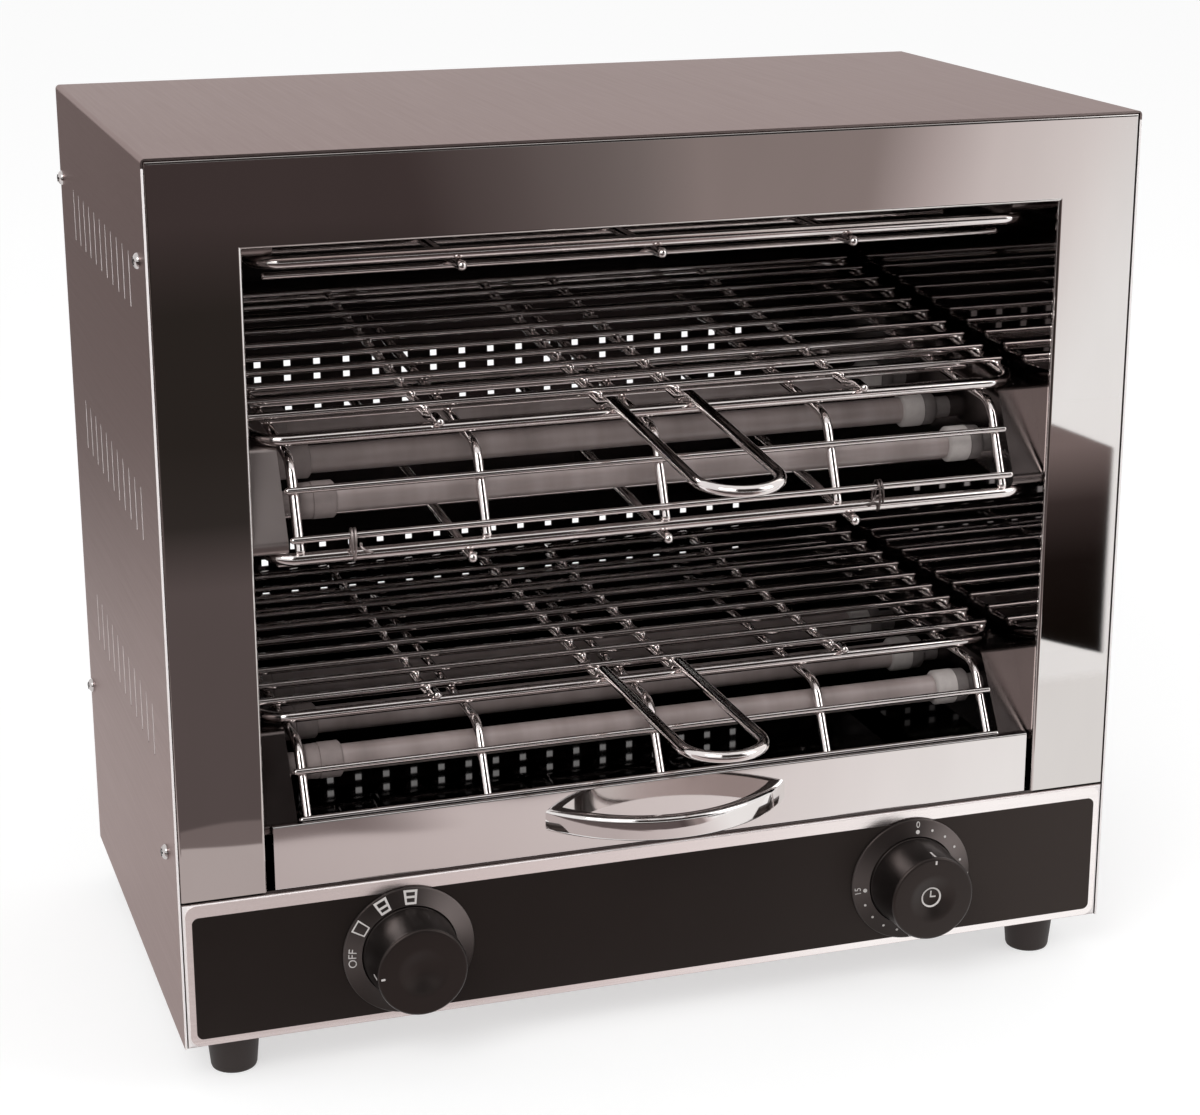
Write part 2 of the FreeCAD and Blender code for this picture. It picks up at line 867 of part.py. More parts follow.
def crumb_tray():
    s = tray_sheet
    half = tray_half - tray_pan_inset
    y1 = back_y - tray_back_gap
    z1 = tray_bottom + tray_pan_height
    pan = box(-half, half, front_y, y1, tray_bottom, z1)
    pan = pan.cut(box(-half + s, half - s, front_y + s, y1 - s, tray_bottom + s, z1))
    front = box(-tray_half, tray_half, front_y, front_y + s, tray_bottom, tray_front_top)
    hem = box(-tray_half, tray_half, front_y, front_y + 2 * s, tray_front_top - tray_hem, tray_front_top)
    tray = fuse([pan, front, hem])
    edges = [e for e in tray.Edges if is_at(e.CenterOfMass.y, front_y) and e.Length > tray_half
             and (is_at(e.CenterOfMass.z, tray_front_top) or is_at(e.CenterOfMass.z, tray_bottom))]
    tray = tray.makeFillet(s * tray_bend_share, edges)
    holes = []
    for x in bow_screw_places():
        front_hole = V(x, front_y, bow_level())
        holes.append(bar(screw_sides, bow_screw_diameter, front_hole, front_hole + V(0, s, 0), V(0, 0, 1)))
    return tray.cut(holes)


def bow_level():
    return tray_bottom + bow_rise


def bow_screw_places():
    reach = bow_span / 2 - bow_end_length / 2
    return (-reach, reach)


def tray_handle():
    half = bow_span / 2
    z0 = bow_level() - bow_height / 2
    inner = half - bow_end_length
    reach = bow_reach - bow_thickness
    y0 = front_y
    outer_arc = Part.Arc(V(-half, y0, z0), V(0, y0 - bow_reach, z0), V(half, y0, z0))
    inner_arc = Part.Arc(V(inner, y0, z0), V(0, y0 - reach, z0), V(-inner, y0, z0))
    right = Part.LineSegment(V(half, y0, z0), V(inner, y0, z0))
    left = Part.LineSegment(V(-inner, y0, z0), V(-half, y0, z0))
    outline = Part.Wire([side.toShape() for side in (outer_arc, right, inner_arc, left)])
    bow = Part.Face(outline).extrude(V(0, 0, bow_height))
    edges = []
    for e in bow.Edges:
        is_arc = len(e.Vertexes) == 2 and e.Length > bow_span and abs(e.CenterOfMass.z - bow_level()) > 1
        if is_arc and e.BoundBox.YMin < front_y - reach - 1:
            edges.append(e)
    return bow.makeChamfer(bow_chamfer, edges)


def tray_handle_screws():
    screws = []
    for x in bow_screw_places():
        seat = V(x, front_y + tray_sheet, bow_level())
        head = bar(screw_sides, bow_screw_head, seat, seat + V(0, bow_screw_head_height, 0), V(0, 0, 1))
        shank = bar(screw_sides, bow_screw_diameter - fit_gap, seat - V(0, tray_sheet, 0), seat, V(0, 0, 1))
        screws.append(head.fuse(shank).removeSplitter())
    return Part.makeCompound(screws)


# Control side: label, dials, knobs, switch and timer
label_front = front_y - label_thickness
film_front = label_front - film_thickness
dial_z = body_bottom + dial_height


def rounded_plate(width, height, corner, z0, y0, y1):
    half = width / 2
    points = [V(-half, y0, z0), V(half, y0, z0), V(half, y0, z0 + height), V(-half, y0, z0 + height)]
    plate = outline_face(points, [corner] * len(points)).extrude(V(0, y1 - y0, 0))
    holes = []
    for x in (-dial_spread / 2, dial_spread / 2):
        holes.append(cylinder_y(bushing_nut_width / 2 + 2 * fit_gap, x, dial_z, y0, y1))
    return plate.cut(holes)


def panel_label():
    z0 = body_bottom + label_edge_space
    return rounded_plate(label_width, label_height, label_corner, z0, label_front, front_y)


def panel_film():
    z0 = body_bottom + label_edge_space + film_low_border
    return rounded_plate(film_width, film_height, film_corner, z0, film_front, label_front)


def dial_ring(x):
    inner = dial_inner_diameter / 2
    outer = dial_outer_diameter / 2
    profile = [(0, inner), (0, outer), (dial_rim_thickness, outer), (dial_thickness, inner)]
    return turned(profile, V(x, film_front, dial_z), V(0, -1, 0))


def knob(x):
    # A cap with a skirt, a sloped edge, a dished face, a recess for the nut and a socket for the shaft
    base = front_y - film_front + knob_back_gap
    face = knob_reach
    r0 = knob_base_diameter / 2
    r1 = knob_face_diameter / 2
    turn = knob_edge * (1 - math.sqrt(0.5))
    recess = knob_recess_diameter / 2
    recess_end = base + bushing_nut_height + knob_recess_gap
    socket = shaft_diameter / 2 + knob_socket_gap
    seat = film_base_to_knob()
    skirt_end = base + knob_skirt
    profile = [(base, recess), (base, r0), (skirt_end, r0), (skirt_end + knob_skirt_slope, r1),
               (face - knob_edge, r1), (face - turn, r1 - turn), (face, r1 - knob_edge),
               (face, knob_dish_diameter / 2), (face - knob_dish_depth, knob_dish_floor / 2),
               (face - knob_dish_depth, 0), (seat, 0), (seat, socket), (recess_end, socket),
               (recess_end, recess)]
    return turned(profile, V(x, front_y, dial_z), V(0, -1, 0))


def film_base_to_knob():
    # How far in front of the panel the shaft ends inside the knob
    return label_thickness + film_thickness + knob_back_gap + bushing_nut_height + shaft_in_knob


def shaft(x, depth):
    y0 = front_y - film_base_to_knob()
    y1 = front_y + panel_sheet + depth
    rod = cylinder_y(shaft_diameter / 2, x, dial_z, y0, y1)
    half = shaft_diameter / 2
    flat_z = dial_z + half * shaft_flat_share
    flat = box(x - half, x + half, y0, y0 + shaft_in_knob - shaft_end_gap, flat_z, dial_z + half)
    return rod.cut(flat)


def control_unit(x, width, depth):
    # A switch or timer case with its threaded bushing through the panel and a nut in front
    half = width / 2
    y0 = front_y + panel_sheet
    case = box(x - half, x + half, y0, y0 + depth, dial_z - half, dial_z + half)
    uprights = [e for e in case.Edges if e.BoundBox.YLength > depth - 0.1]
    case = case.makeChamfer(width * case_corner_share, uprights)
    bushing = cylinder_y(bushing_diameter / 2, x, dial_z, front_y - bushing_nut_height, y0)
    nut_y = front_y - bushing_nut_height
    nut = bar(6, bushing_nut_width * hexagon_share, V(x, nut_y, dial_z), V(x, front_y, dial_z), V(0, 0, 1))
    unit = fuse([case, bushing, nut])
    bore = cylinder_y(shaft_diameter / 2 + shaft_gap, x, dial_z, nut_y, y0 + shaft_inside)
    terminals = []
    y1 = y0 + depth
    w = terminal_width / 2
    t = terminal_sheet / 2
    for i in (-1, 1):
        for j in (-1, 1):
            cx = x + i * width / 4
            cz = dial_z + j * width / 4
            terminals.append(box(cx - w, cx + w, y1, y1 + terminal_length, cz - t, cz + t))
    return fuse([unit.cut(bore)] + terminals)


# Feet with their screws
def foot(x, y):
    # A many-sided rubber foot, wider at the top, with a recess below for its screw head
    start = V(1, 0, 0)
    rings = []
    for across, z in ((foot_base_diameter, 0), (foot_top_diameter, foot_height)):
        rings.append(polygon_ring(foot_sides, across, V(x, y, z), V(0, 0, 1), start))
    body = Part.makeLoft(rings, True, True)
    middle = V(x, y, foot_recess_depth)
    recess = bar(foot_recess_sides, foot_recess_diameter, V(x, y, 0), middle, start)
    hole = bar(foot_recess_sides, foot_screw_diameter + fit_gap, middle, V(x, y, foot_height), start)
    return body.cut([recess, hole])


def foot_places():
    places = {}
    for end, y in (("front", front_y + foot_inset_end), ("back", back_y - foot_inset_end)):
        for side, sign in (("left", -1), ("right", 1)):
            places["foot_" + end + "_" + side] = (sign * (half_width - foot_inset_side), y)
    return places


def foot_screws():
    screws = []
    nut_bottom = body_bottom + 2 * panel_sheet
    for x, y in foot_places().values():
        z0 = foot_recess_depth - foot_screw_head_height
        head = bar(screw_sides, foot_screw_head, V(x, y, z0), V(x, y, foot_recess_depth), V(1, 0, 0))
        end = nut_bottom + foot_nut_height + foot_screw_past_nut
        across = foot_screw_diameter - fit_gap
        shank = bar(screw_sides, across, V(x, y, foot_recess_depth), V(x, y, end), V(1, 0, 0))
        nut = bar(6, foot_screw_head, V(x, y, nut_bottom), V(x, y, nut_bottom + foot_nut_height), V(1, 0, 0))
        screws.append(fuse([head, shank, nut]))
    return Part.makeCompound(screws)


# Mains side
def terminal_block():
    x0 = gland_offset - block_width / 2
    y1 = back_y - block_inset
    z0 = body_bottom + 2 * panel_sheet
    block = box(x0, x0 + block_width, y1 - block_depth, y1, z0, z0 + block_height)
    pitch = block_width / block_screws
    y = y1 - block_depth / 2
    z1 = z0 + block_height
    low = z0 + block_entry_low
    half = block_entry_width / 2
    cutters = []
    for i in range(block_screws):
        x = x0 + pitch * (i + 0.5)
        cutters.append(bar(screw_sides, block_screw_diameter, V(x, y, z1 - block_screw_depth), V(x, y, z1),
                           V(1, 0, 0)))
        cutters.append(box(x - half, x + half, y1 - block_entry_depth, y1, low, low + block_entry_height))
    return block.cut(cutters)


def cable_gland():
    x = gland_offset
    z = body_bottom + gland_height
    outer_face = back_y
    inner_face = back_y - panel_sheet
    nut_across = gland_nut_width * hexagon_share
    body = cylinder_y(gland_body_diameter / 2, x, z, inner_face - gland_inside, outer_face)
    inner_nut = bar(6, nut_across, V(x, inner_face - gland_nut_height, z), V(x, inner_face, z), V(0, 0, 1))
    nut_end = outer_face + gland_nut_height
    outer_nut = bar(6, nut_across, V(x, outer_face, z), V(x, nut_end, z), V(0, 0, 1))
    cap = cylinder_y(gland_cap_diameter / 2, x, z, nut_end, outer_face + gland_reach)
    rim = [e for e in cap.Edges if is_at(e.CenterOfMass.y, outer_face + gland_reach)]
    cap = cap.makeChamfer(gland_cap_chamfer, rim)
    gland = fuse([body, inner_nut, outer_nut, cap])
    return gland.cut(cylinder_y(gland_bore / 2, x, z, inner_face - gland_inside, outer_face + gland_reach))


# Build every piece
side_screws = casing_screws()
rear_screws = back_screws()
save(outer_casing().cut(side_screws), "outer_casing")
save(front_frame().cut(side_screws), "front_frame")
save(control_panel(), "control_panel")
save(panel_label(), "panel_label")
save(panel_film(), "panel_film")
save(base_plate(), "base_plate")
save(back_panel().cut(side_screws + rear_screws), "back_panel")
save(cavity_floor(), "cavity_floor")
save(cavity_roof(), "cavity_roof")
wall = inner_wall()
save(wall, "inner_wall_right")
save(both_sides(wall), "inner_wall_left")
save(Part.makeCompound(side_screws), "casing_screws")
save(Part.makeCompound(rear_screws), "back_screws")

decks = (("lower", lower_deck, lower_tube_drop), ("middle", middle_deck, middle_tube_drop))
coils = []
for deck, place, drop in decks:
    right = place(deck_bracket(drop))
    save(right, "heater_bracket_" + deck + "_right")
    save(both_sides(right), "heater_bracket_" + deck + "_left")
    rows = tube_rows(tube_inset, -drop)
    for number, (y, z) in enumerate(rows, 1):
        save(place(quartz_tube(y, z)), "quartz_tube_" + deck + "_" + str(number))
        coils.append(place(heating_coil(y, z)))
    save(place(ceramic_caps(rows)), "ceramic_caps_" + deck)
    save(place(guard_grid()), "guard_grid_" + deck)

right = top_bracket()
save(right, "heater_bracket_top_right")
save(both_sides(right), "heater_bracket_top_left")
rows = top_tube_rows()
for number, (y, z) in enumerate(rows, 1):
    save(quartz_tube(y, z), "quartz_tube_top_" + str(number))
    coils.append(heating_coil(y, z))
save(ceramic_caps(rows), "ceramic_caps_top")
save(Part.makeCompound(coils), "heating_coils")

top_guard = under_guard()
top_guard.translate(V(0, front_y + top_under_inset, body_bottom + top_under_height))
save(top_guard, "under_guard_top")
save(middle_deck(middle_under_guard()), "under_guard_middle")
save(middle_deck(guard_ties()), "guard_ties")

save(lower_deck(rack_grid(lower_rack_inset, lower_first_cross)), "lower_rack_grid")
save(lower_deck(rack_handle(lower_rack_inset, lower_first_cross)), "lower_rack_handle")
save(middle_deck(rack_grid(upper_rack_inset, upper_first_cross)), "upper_rack_grid")
save(middle_deck(rack_handle(upper_rack_inset, upper_first_cross)), "upper_rack_handle")

save(crumb_tray(), "crumb_tray")
save(tray_handle(), "tray_handle")
save(tray_handle_screws(), "tray_handle_screws")

half_spread = dial_spread / 2
for name, x, width, depth, unit in (("selector", -half_spread, switch_width, switch_depth, "selector_switch"),
                                    ("timer", half_spread, timer_width, timer_depth, "timer_unit")):
    save(dial_ring(x), name + "_dial_ring")
    save(knob(x), name + "_knob")
    save(shaft(x, shaft_inside - shaft_end_gap), name + "_shaft")
    save(control_unit(x, width, depth), unit)

for name, (x, y) in foot_places().items():
    save(foot(x, y), name)
save(foot_screws(), "foot_screws")
save(terminal_block(), "terminal_block")
save(cable_gland(), "cable_gland")
print("front plane at y", round(front_y, 3), "back at", round(back_y, 3))
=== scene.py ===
import bmesh
import bpy
import math
from mathutils import Matrix, Vector


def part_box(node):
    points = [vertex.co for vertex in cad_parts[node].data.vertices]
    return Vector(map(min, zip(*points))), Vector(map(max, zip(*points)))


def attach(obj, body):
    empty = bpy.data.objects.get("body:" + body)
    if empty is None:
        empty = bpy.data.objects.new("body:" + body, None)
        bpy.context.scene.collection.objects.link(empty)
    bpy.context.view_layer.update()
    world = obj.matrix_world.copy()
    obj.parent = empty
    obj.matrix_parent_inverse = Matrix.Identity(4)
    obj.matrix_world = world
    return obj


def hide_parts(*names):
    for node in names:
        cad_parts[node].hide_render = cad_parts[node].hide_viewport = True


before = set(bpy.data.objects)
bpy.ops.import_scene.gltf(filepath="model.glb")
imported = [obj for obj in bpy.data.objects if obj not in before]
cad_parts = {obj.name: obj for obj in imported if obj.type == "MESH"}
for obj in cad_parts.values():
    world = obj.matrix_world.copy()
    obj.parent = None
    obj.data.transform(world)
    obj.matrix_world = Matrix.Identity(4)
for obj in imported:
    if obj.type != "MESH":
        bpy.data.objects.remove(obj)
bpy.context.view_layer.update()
print("frame loaded")

mm = 0.001
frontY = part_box("front_frame")[0].y
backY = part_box("back_panel")[1].y
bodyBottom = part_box("outer_casing")[0].z
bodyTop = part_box("outer_casing")[1].z
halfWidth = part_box("outer_casing")[1].x


# Shader maths: a socket that can be added, multiplied and so on
class Value:
    def __init__(self, shade, socket):
        self.shade = shade
        self.socket = socket

    def maths(self, operation, other=0.0, swap=False):
        pair = (other, self) if swap else (self, other)
        return self.shade.node("ShaderNodeMath", {"operation": operation}, {0: pair[0], 1: pair[1]})

    def __add__(self, other):
        return self.maths("ADD", other)

    def __radd__(self, other):
        return self.maths("ADD", other, True)

    def __sub__(self, other):
        return self.maths("SUBTRACT", other)

    def __rsub__(self, other):
        return self.maths("SUBTRACT", other, True)

    def __mul__(self, other):
        return self.maths("MULTIPLY", other)

    def __rmul__(self, other):
        return self.maths("MULTIPLY", other, True)

    def __truediv__(self, other):
        return self.maths("DIVIDE", other)

    def __rtruediv__(self, other):
        return self.maths("DIVIDE", other, True)

    def __gt__(self, other):
        return self.maths("GREATER_THAN", other)

    def __lt__(self, other):
        return self.maths("LESS_THAN", other)


class Shade:
    def __init__(self, name, world=False):
        self.owner = (bpy.data.worlds if world else bpy.data.materials).new(name)
        self.owner.use_nodes = True
        self.tree = self.owner.node_tree
        self.tree.nodes.clear()
        self.output = self.tree.nodes.new("ShaderNodeOutputWorld" if world else "ShaderNodeOutputMaterial")

    def node(self, kind, settings=None, inputs=None, out=0):
        made = self.tree.nodes.new(kind)
        for key, value in (settings or {}).items():
            if key == "stops":
                self.setStops(made.color_ramp, value)
            else:
                setattr(made, key, value)
        for key, value in (inputs or {}).items():
            if isinstance(value, Value):
                self.tree.links.new(value.socket, made.inputs[key])
            else:
                made.inputs[key].default_value = value
        return Value(self, made.outputs[out])

    def setStops(self, ramp, stops):
        while len(ramp.elements) < len(stops):
            ramp.elements.new(0.5)
        for element, (place, colour) in zip(ramp.elements, stops):
            element.position = place
            element.color = (*colour, 1)

    def place(self):
        return self.node("ShaderNodeTexCoord", out=3)

    def axis(self, index):
        return self.node("ShaderNodeSeparateXYZ", {}, {0: self.place()}, index)

    def facing(self, index):
        normal = self.node("ShaderNodeTexCoord", out=1)
        return self.node("ShaderNodeSeparateXYZ", {}, {0: normal}, index)

    def ease(self, value, start, stop):
        return self.node("ShaderNodeMapRange", {"interpolation_type": "SMOOTHSTEP"},
                         {"Value": value, "From Min": start, "From Max": stop, "To Min": 0.0, "To Max": 1.0})

    def noise(self, scale, stretch=(1, 1, 1), detail=3.0, rough=0.5):
        mapped = self.node("ShaderNodeMapping", {}, {"Vector": self.place(), "Scale": stretch})
        return self.node("ShaderNodeTexNoise", {}, {"Vector": mapped, "Scale": scale, "Detail": detail,
                                                    "Roughness": rough})

    def ramp(self, value, stops):
        return self.node("ShaderNodeValToRGB", {"stops": stops}, {0: value})

    def mix(self, factor, a, b):
        sockets = {0: factor}
        for index, colour in ((6, a), (7, b)):
            sockets[index] = colour if isinstance(colour, Value) else (*colour, 1)
        return self.node("ShaderNodeMix", {"data_type": "RGBA"}, sockets, 2)

    def bump(self, height, strength, distance):
        return self.node("ShaderNodeBump", {}, {"Height": height, "Strength": strength, "Distance": distance})

    def show(self, shader):
        self.tree.links.new(shader.socket, self.output.inputs["Surface"])
        return self.owner

    def finish(self, **inputs):
        names = {"colour": "Base Color", "rough": "Roughness", "metal": "Metallic", "normal": "Normal",
                 "coat": "Coat Weight", "coatRough": "Coat Roughness", "shine": "Specular IOR Level",
                 "edge": "Specular Tint"}
        values = {}
        for key, value in inputs.items():
            values[names[key]] = (*value, 1) if isinstance(value, tuple) else value
        return self.show(self.node("ShaderNodeBsdfPrincipled", {}, values))


def times(colour, share):
    return tuple(c * share for c in colour)


# Finishes
def satinSteel(name, colour, rough, along, edge=(1.0, 1.0, 1.0), cutEdgeHighlight=None):
    shade = Shade(name)
    stretch = {"x": (0.02, 1, 1), "y": (1, 0.02, 1)}[along]
    grain = shade.noise(900, stretch, 2, 0.6)
    cloud = shade.noise(5, (1, 1, 1), 2)
    tone = shade.mix(cloud * 0.5 + grain * 0.5, times(colour, 0.9), times(colour, 1.1))
    normal = shade.bump(grain, 0.05, 0.0002)
    roughness = grain * 0.12 + (rough - 0.06)
    if not cutEdgeHighlight:
        return shade.finish(colour=tone, metal=1.0, rough=roughness, normal=normal, edge=edge)
    # The sheet's cut edges, and those of its slots, are painted pale and less metallic below the top: a
    # painted highlight along the edges
    cut = (shade.facing(1).maths("ABSOLUTE") > 0.8) * (shade.axis(2) < (bodyTop - 4 * mm))
    return shade.finish(colour=shade.mix(cut, tone, cutEdgeHighlight), metal=1 - cut, rough=roughness + cut * 0.2,
                        normal=normal, edge=edge)


def polishedSteel(name, colour, rough, wave):
    shade = Shade(name)
    swell = shade.noise(7, (1, 1, 0.5), 1)
    smear = shade.noise(26, (1, 1, 0.3), 4)
    tone = shade.mix(smear, times(colour, 0.93), times(colour, 1.05))
    normal = shade.bump(swell, wave, 0.004)
    return shade.finish(colour=tone, metal=1.0, rough=smear * 0.025 + rough, normal=normal)


def brightWire(name, colour):
    shade = Shade(name)
    patch = shade.noise(38, (1, 1, 1), 3)
    fine = shade.noise(420, (1, 1, 1), 2)
    tone = shade.mix(patch, times(colour, 0.6), colour)
    return shade.finish(colour=tone, metal=1.0, rough=patch * 0.06 + 0.07,
                        normal=shade.bump(fine, 0.012, 0.0003))


def bracketSteel(name, colour, pale):
    # Dark and glossy, but the upper left brackets, which face the light, get a paler painted lit tone of the
    # same steel
    shade = Shade(name)
    lit = (shade.axis(0) < 0) * (shade.axis(2) > 0.17)
    grain = shade.noise(60, (1, 1, 1), 3)
    tone = shade.mix(grain, times(colour, 0.8), times(colour, 1.2))
    lightTone = shade.mix(grain, times(pale, 0.9), pale)
    return shade.finish(colour=shade.mix(lit, tone, lightTone), metal=1.0,
                        rough=grain * 0.08 + 0.16 + lit * 0.16)


def frostedQuartz(name):
    shade = Shade(name)
    bands = shade.noise(60, (1, 0.2, 0.2), 3)
    fine = shade.noise(500, (1, 1, 1), 2)
    tone = shade.ramp(bands, [(0.25, (0.20, 0.160, 0.152)), (0.5, (0.27, 0.218, 0.208)),
                              (0.8, (0.36, 0.30, 0.29))])
    return shade.finish(colour=tone, rough=0.36, coat=0.25, coatRough=0.22,
                        normal=shade.bump(fine, 0.02, 0.0002))


def ceramicCap(name, split):
    # The left collars take the tube's brown tone, and the outer step of the right ones is darker still
    shade = Shade(name)
    along = shade.axis(0)
    grain = shade.noise(300, (1, 1, 1), 4)
    pale = shade.mix(grain, (0.34, 0.30, 0.29), (0.46, 0.42, 0.40))
    deep = shade.mix(grain, (0.09, 0.075, 0.072), (0.14, 0.12, 0.115))
    brown = shade.mix(grain, (0.19, 0.153, 0.146), (0.25, 0.205, 0.196))
    tone = shade.mix(along < 0, shade.mix(along > split, pale, deep), brown)
    return shade.finish(colour=tone, rough=0.7, normal=shade.bump(grain, 0.15, 0.0004))


def darkPlastic(name, colour, rough, bumpSize, shine=0.5, paintedSheen=0.0):
    shade = Shade(name)
    grain = shade.noise(1500, (1, 1, 1), 2)
    cloud = shade.noise(30, (1, 1, 1), 3)
    tone = shade.mix(cloud * 0.6 + grain * 0.4, times(colour, 0.75), times(colour, 1.3))
    if paintedSheen:  # a painted sheen makes the right end greyer
        tone = shade.mix(shade.ease(shade.axis(0), 0.02, 0.24), tone, times(colour, 1 + paintedSheen))
    return shade.finish(colour=tone, rough=cloud * 0.1 + rough, shine=shine, edge=(1.0, 0.8, 0.74),
                        normal=shade.bump(grain, bumpSize, 0.0002))


def whitePrint(name, colour):
    shade = Shade(name)
    grain = shade.noise(1200, (1, 1, 1), 2)
    tone = shade.mix(grain, times(colour, 0.88), colour)
    return shade.finish(colour=tone, rough=0.6)


def innerWallSteel(name, colour, rough, wave):
    shade = Shade(name)
    smear = shade.noise(18, (1, 1, 0.4), 4)
    tone = shade.mix(smear, times(colour, 0.7), times(colour, 1.3))
    normal = shade.bump(shade.noise(9, (1, 1, 1), 1), wave, 0.003)
    return shade.finish(colour=tone, metal=1.0, rough=smear * 0.03 + rough, normal=normal)


def backPanelSteel(name):
    # Satin outside; dark and blotchy inside the oven, a painted shade for the dark cavity
    shade = Shade(name)
    inside = shade.axis(1) < (backY - 0.5 * mm)
    grain = shade.noise(900, (0.02, 1, 1), 2, 0.6)
    outer = shade.mix(grain, (0.32, 0.29, 0.283), (0.40, 0.36, 0.352))
    smear = shade.noise(16, (1, 1, 0.4), 4)
    inner = shade.mix(smear, (0.022, 0.018, 0.018), (0.06, 0.05, 0.05))
    tone = shade.mix(inside, outer, inner)
    rough = grain * 0.12 + 0.3 - inside * 0.18
    return shade.finish(colour=tone, metal=1.0, rough=rough)


def traySteel(name, colour, inner):
    # Bright front and handle; the pan behind them is near black, a painted shade for the dark cavity
    shade = Shade(name)
    inside = shade.axis(1) > (frontY + 2.5 * mm)
    smear = shade.noise(26, (1, 1, 0.3), 4)
    front = shade.mix(smear, times(colour, 0.94), times(colour, 1.04))
    tone = shade.mix(inside, front, shade.mix(smear, inner, times(inner, 1.6)))
    height = shade.noise(7, (1, 1, 0.5), 1) * (1 - inside)
    return shade.finish(colour=tone, metal=1.0, rough=smear * 0.04 + 0.04 - inside * 0.03,
                        normal=shade.bump(height, 0.06, 0.004))


finishes = {
    # The casing's last colour is the painted highlight on its cut edges
    "casing": satinSteel("casingSteel", (0.25, 0.203, 0.195), 0.34, "y", (0.78, 0.678, 0.663),
                         (0.9, 0.85, 0.84)),
    "back": backPanelSteel("backPanelSteel"),
    # The oven's walls, roof and floor get a near-black steel colour: painted shade for the dark cavity
    "wall": innerWallSteel("ovenWall", (0.10, 0.084, 0.081), 0.01, 0.02),
    "floor": innerWallSteel("ovenFloor", (0.075, 0.064, 0.062), 0.02, 0.02),
    "frame": polishedSteel("frameSteel", (0.68, 0.65, 0.635), 0.012, 0.05),
    "tray": traySteel("traySteel", (0.78, 0.745, 0.735), (0.022, 0.018, 0.017)),
    "wire": brightWire("rackWire", (0.9, 0.835, 0.82)),
    "bracket": bracketSteel("bracketSteel", (0.13, 0.108, 0.104), (0.36, 0.31, 0.30)),
    "label": satinSteel("labelSilver", (0.93, 0.88, 0.87), 0.17, "x"),
    "quartz": frostedQuartz("frostedQuartz"),
    "ceramic": ceramicCap("ceramicCap", 0.1555),
    "film": darkPlastic("panelFilm", (0.0078, 0.0062, 0.0056), 0.42, 0.2, 0.25, 2.6),
    "plastic": darkPlastic("knobPlastic", (0.006, 0.005, 0.0048), 0.3, 0.1, 0.4),
    "ring": darkPlastic("ringPlastic", (0.012, 0.010, 0.0097), 0.34, 0.1),
    "rubber": darkPlastic("footRubber", (0.017, 0.015, 0.015), 0.55, 0.35),
    "print": whitePrint("whitePrint", (0.66, 0.62, 0.60)),
    "screw": brightWire("screwSteel", (0.66, 0.62, 0.61)),
}
print("finishes made")


# Mesh helpers
def newObject(name, mesh, finish, body, nodes=()):
    piece = bpy.data.objects.new(name, mesh)
    bpy.context.scene.collection.objects.link(piece)
    if finish:
        mesh.materials.clear()
        mesh.materials.append(finishes[finish])
    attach(piece, body)
    if nodes:
        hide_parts(*nodes)
    return piece


def meshFrom(name, points, faces, smooth=True):
    mesh = bpy.data.meshes.new(name)
    mesh.from_pydata([tuple(p) for p in points], [], faces)
    build = bmesh.new()
    build.from_mesh(mesh)
    bmesh.ops.remove_doubles(build, verts=build.verts, dist=1e-6)
    bmesh.ops.recalc_face_normals(build, faces=build.faces)
    build.to_mesh(mesh)
    build.free()
    if smooth:
        mesh.shade_smooth()
    return mesh


def joinMeshes(name, meshes):
    build = bmesh.new()
    for mesh in meshes:
        build.from_mesh(mesh)
    joined = bpy.data.meshes.new(name)
    build.to_mesh(joined)
    build.free()
    return joined


def lathe(name, profile, centre, axis, steps=72):
    # profile: (distance along the axis, radius), from one end to the other
    axis = Vector(axis).normalized()
    side = axis.orthogonal().normalized()
    across = axis.cross(side)
    points = []
    faces = []
    count = len(profile)
    for i in range(steps):
        angle = 2 * math.pi * i / steps
        ray = side * math.cos(angle) + across * math.sin(angle)
        for along, radius in profile:
            points.append(Vector(centre) + axis * along + ray * radius)
    for i in range(steps):
        a = i * count
        b = ((i + 1) % steps) * count
        for j in range(count - 1):
            faces.append((a + j, a + j + 1, b + j + 1, b + j))
    return meshFrom(name, points, faces)


def sharpEdges(mesh, degrees=35):
    mesh.set_sharp_from_angle(angle=math.radians(degrees))
    return mesh


def roundedPath(points, radii, steps=6):
    # Straight runs joined by arcs, as points
    path = [Vector(points[0])]
    for i in range(1, len(points) - 1):
        corner = Vector(points[i])
        before = (Vector(points[i - 1]) - corner).normalized()
        after = (Vector(points[i + 1]) - corner).normalized()
        turn = math.pi - before.angle(after)
        cut = radii[i] * math.tan(turn / 2)
        centre = corner + (before + after).normalized() * (radii[i] / math.cos(turn / 2))
        begin = corner + before * cut - centre
        end = corner + after * cut - centre
        for k in range(steps + 1):
            part = k / steps
            weightA = math.sin((1 - part) * turn) / math.sin(turn)
            weightB = math.sin(part * turn) / math.sin(turn)
            path.append(centre + begin * weightA + end * weightB)
    path.append(Vector(points[-1]))
    return path


# Geometry Nodes: one tree sweeps wires, the other repeats a shape on points
class Tree:
    def __init__(self, name, sockets):
        self.group = bpy.data.node_groups.new(name, "GeometryNodeTree")
        self.group.interface.new_socket("Geometry", in_out="INPUT", socket_type="NodeSocketGeometry")
        for label, kind in sockets:
            self.group.interface.new_socket(label, in_out="INPUT", socket_type=kind)
        self.group.interface.new_socket("Geometry", in_out="OUTPUT", socket_type="NodeSocketGeometry")
        self.entry = self.group.nodes.new("NodeGroupInput")
        self.exit = self.group.nodes.new("NodeGroupOutput")

    def given(self, label):
        return self.entry.outputs[label]

    def node(self, kind, settings=None, inputs=None):
        made = self.group.nodes.new(kind)
        for key, value in (settings or {}).items():
            setattr(made, key, value)
        for key, value in (inputs or {}).items():
            if isinstance(value, bpy.types.NodeSocket):
                self.group.links.new(value, made.inputs[key])
            else:
                made.inputs[key].default_value = value
        return made

    def finish(self, socket):
        self.group.links.new(socket, self.exit.inputs["Geometry"])
        return self.group


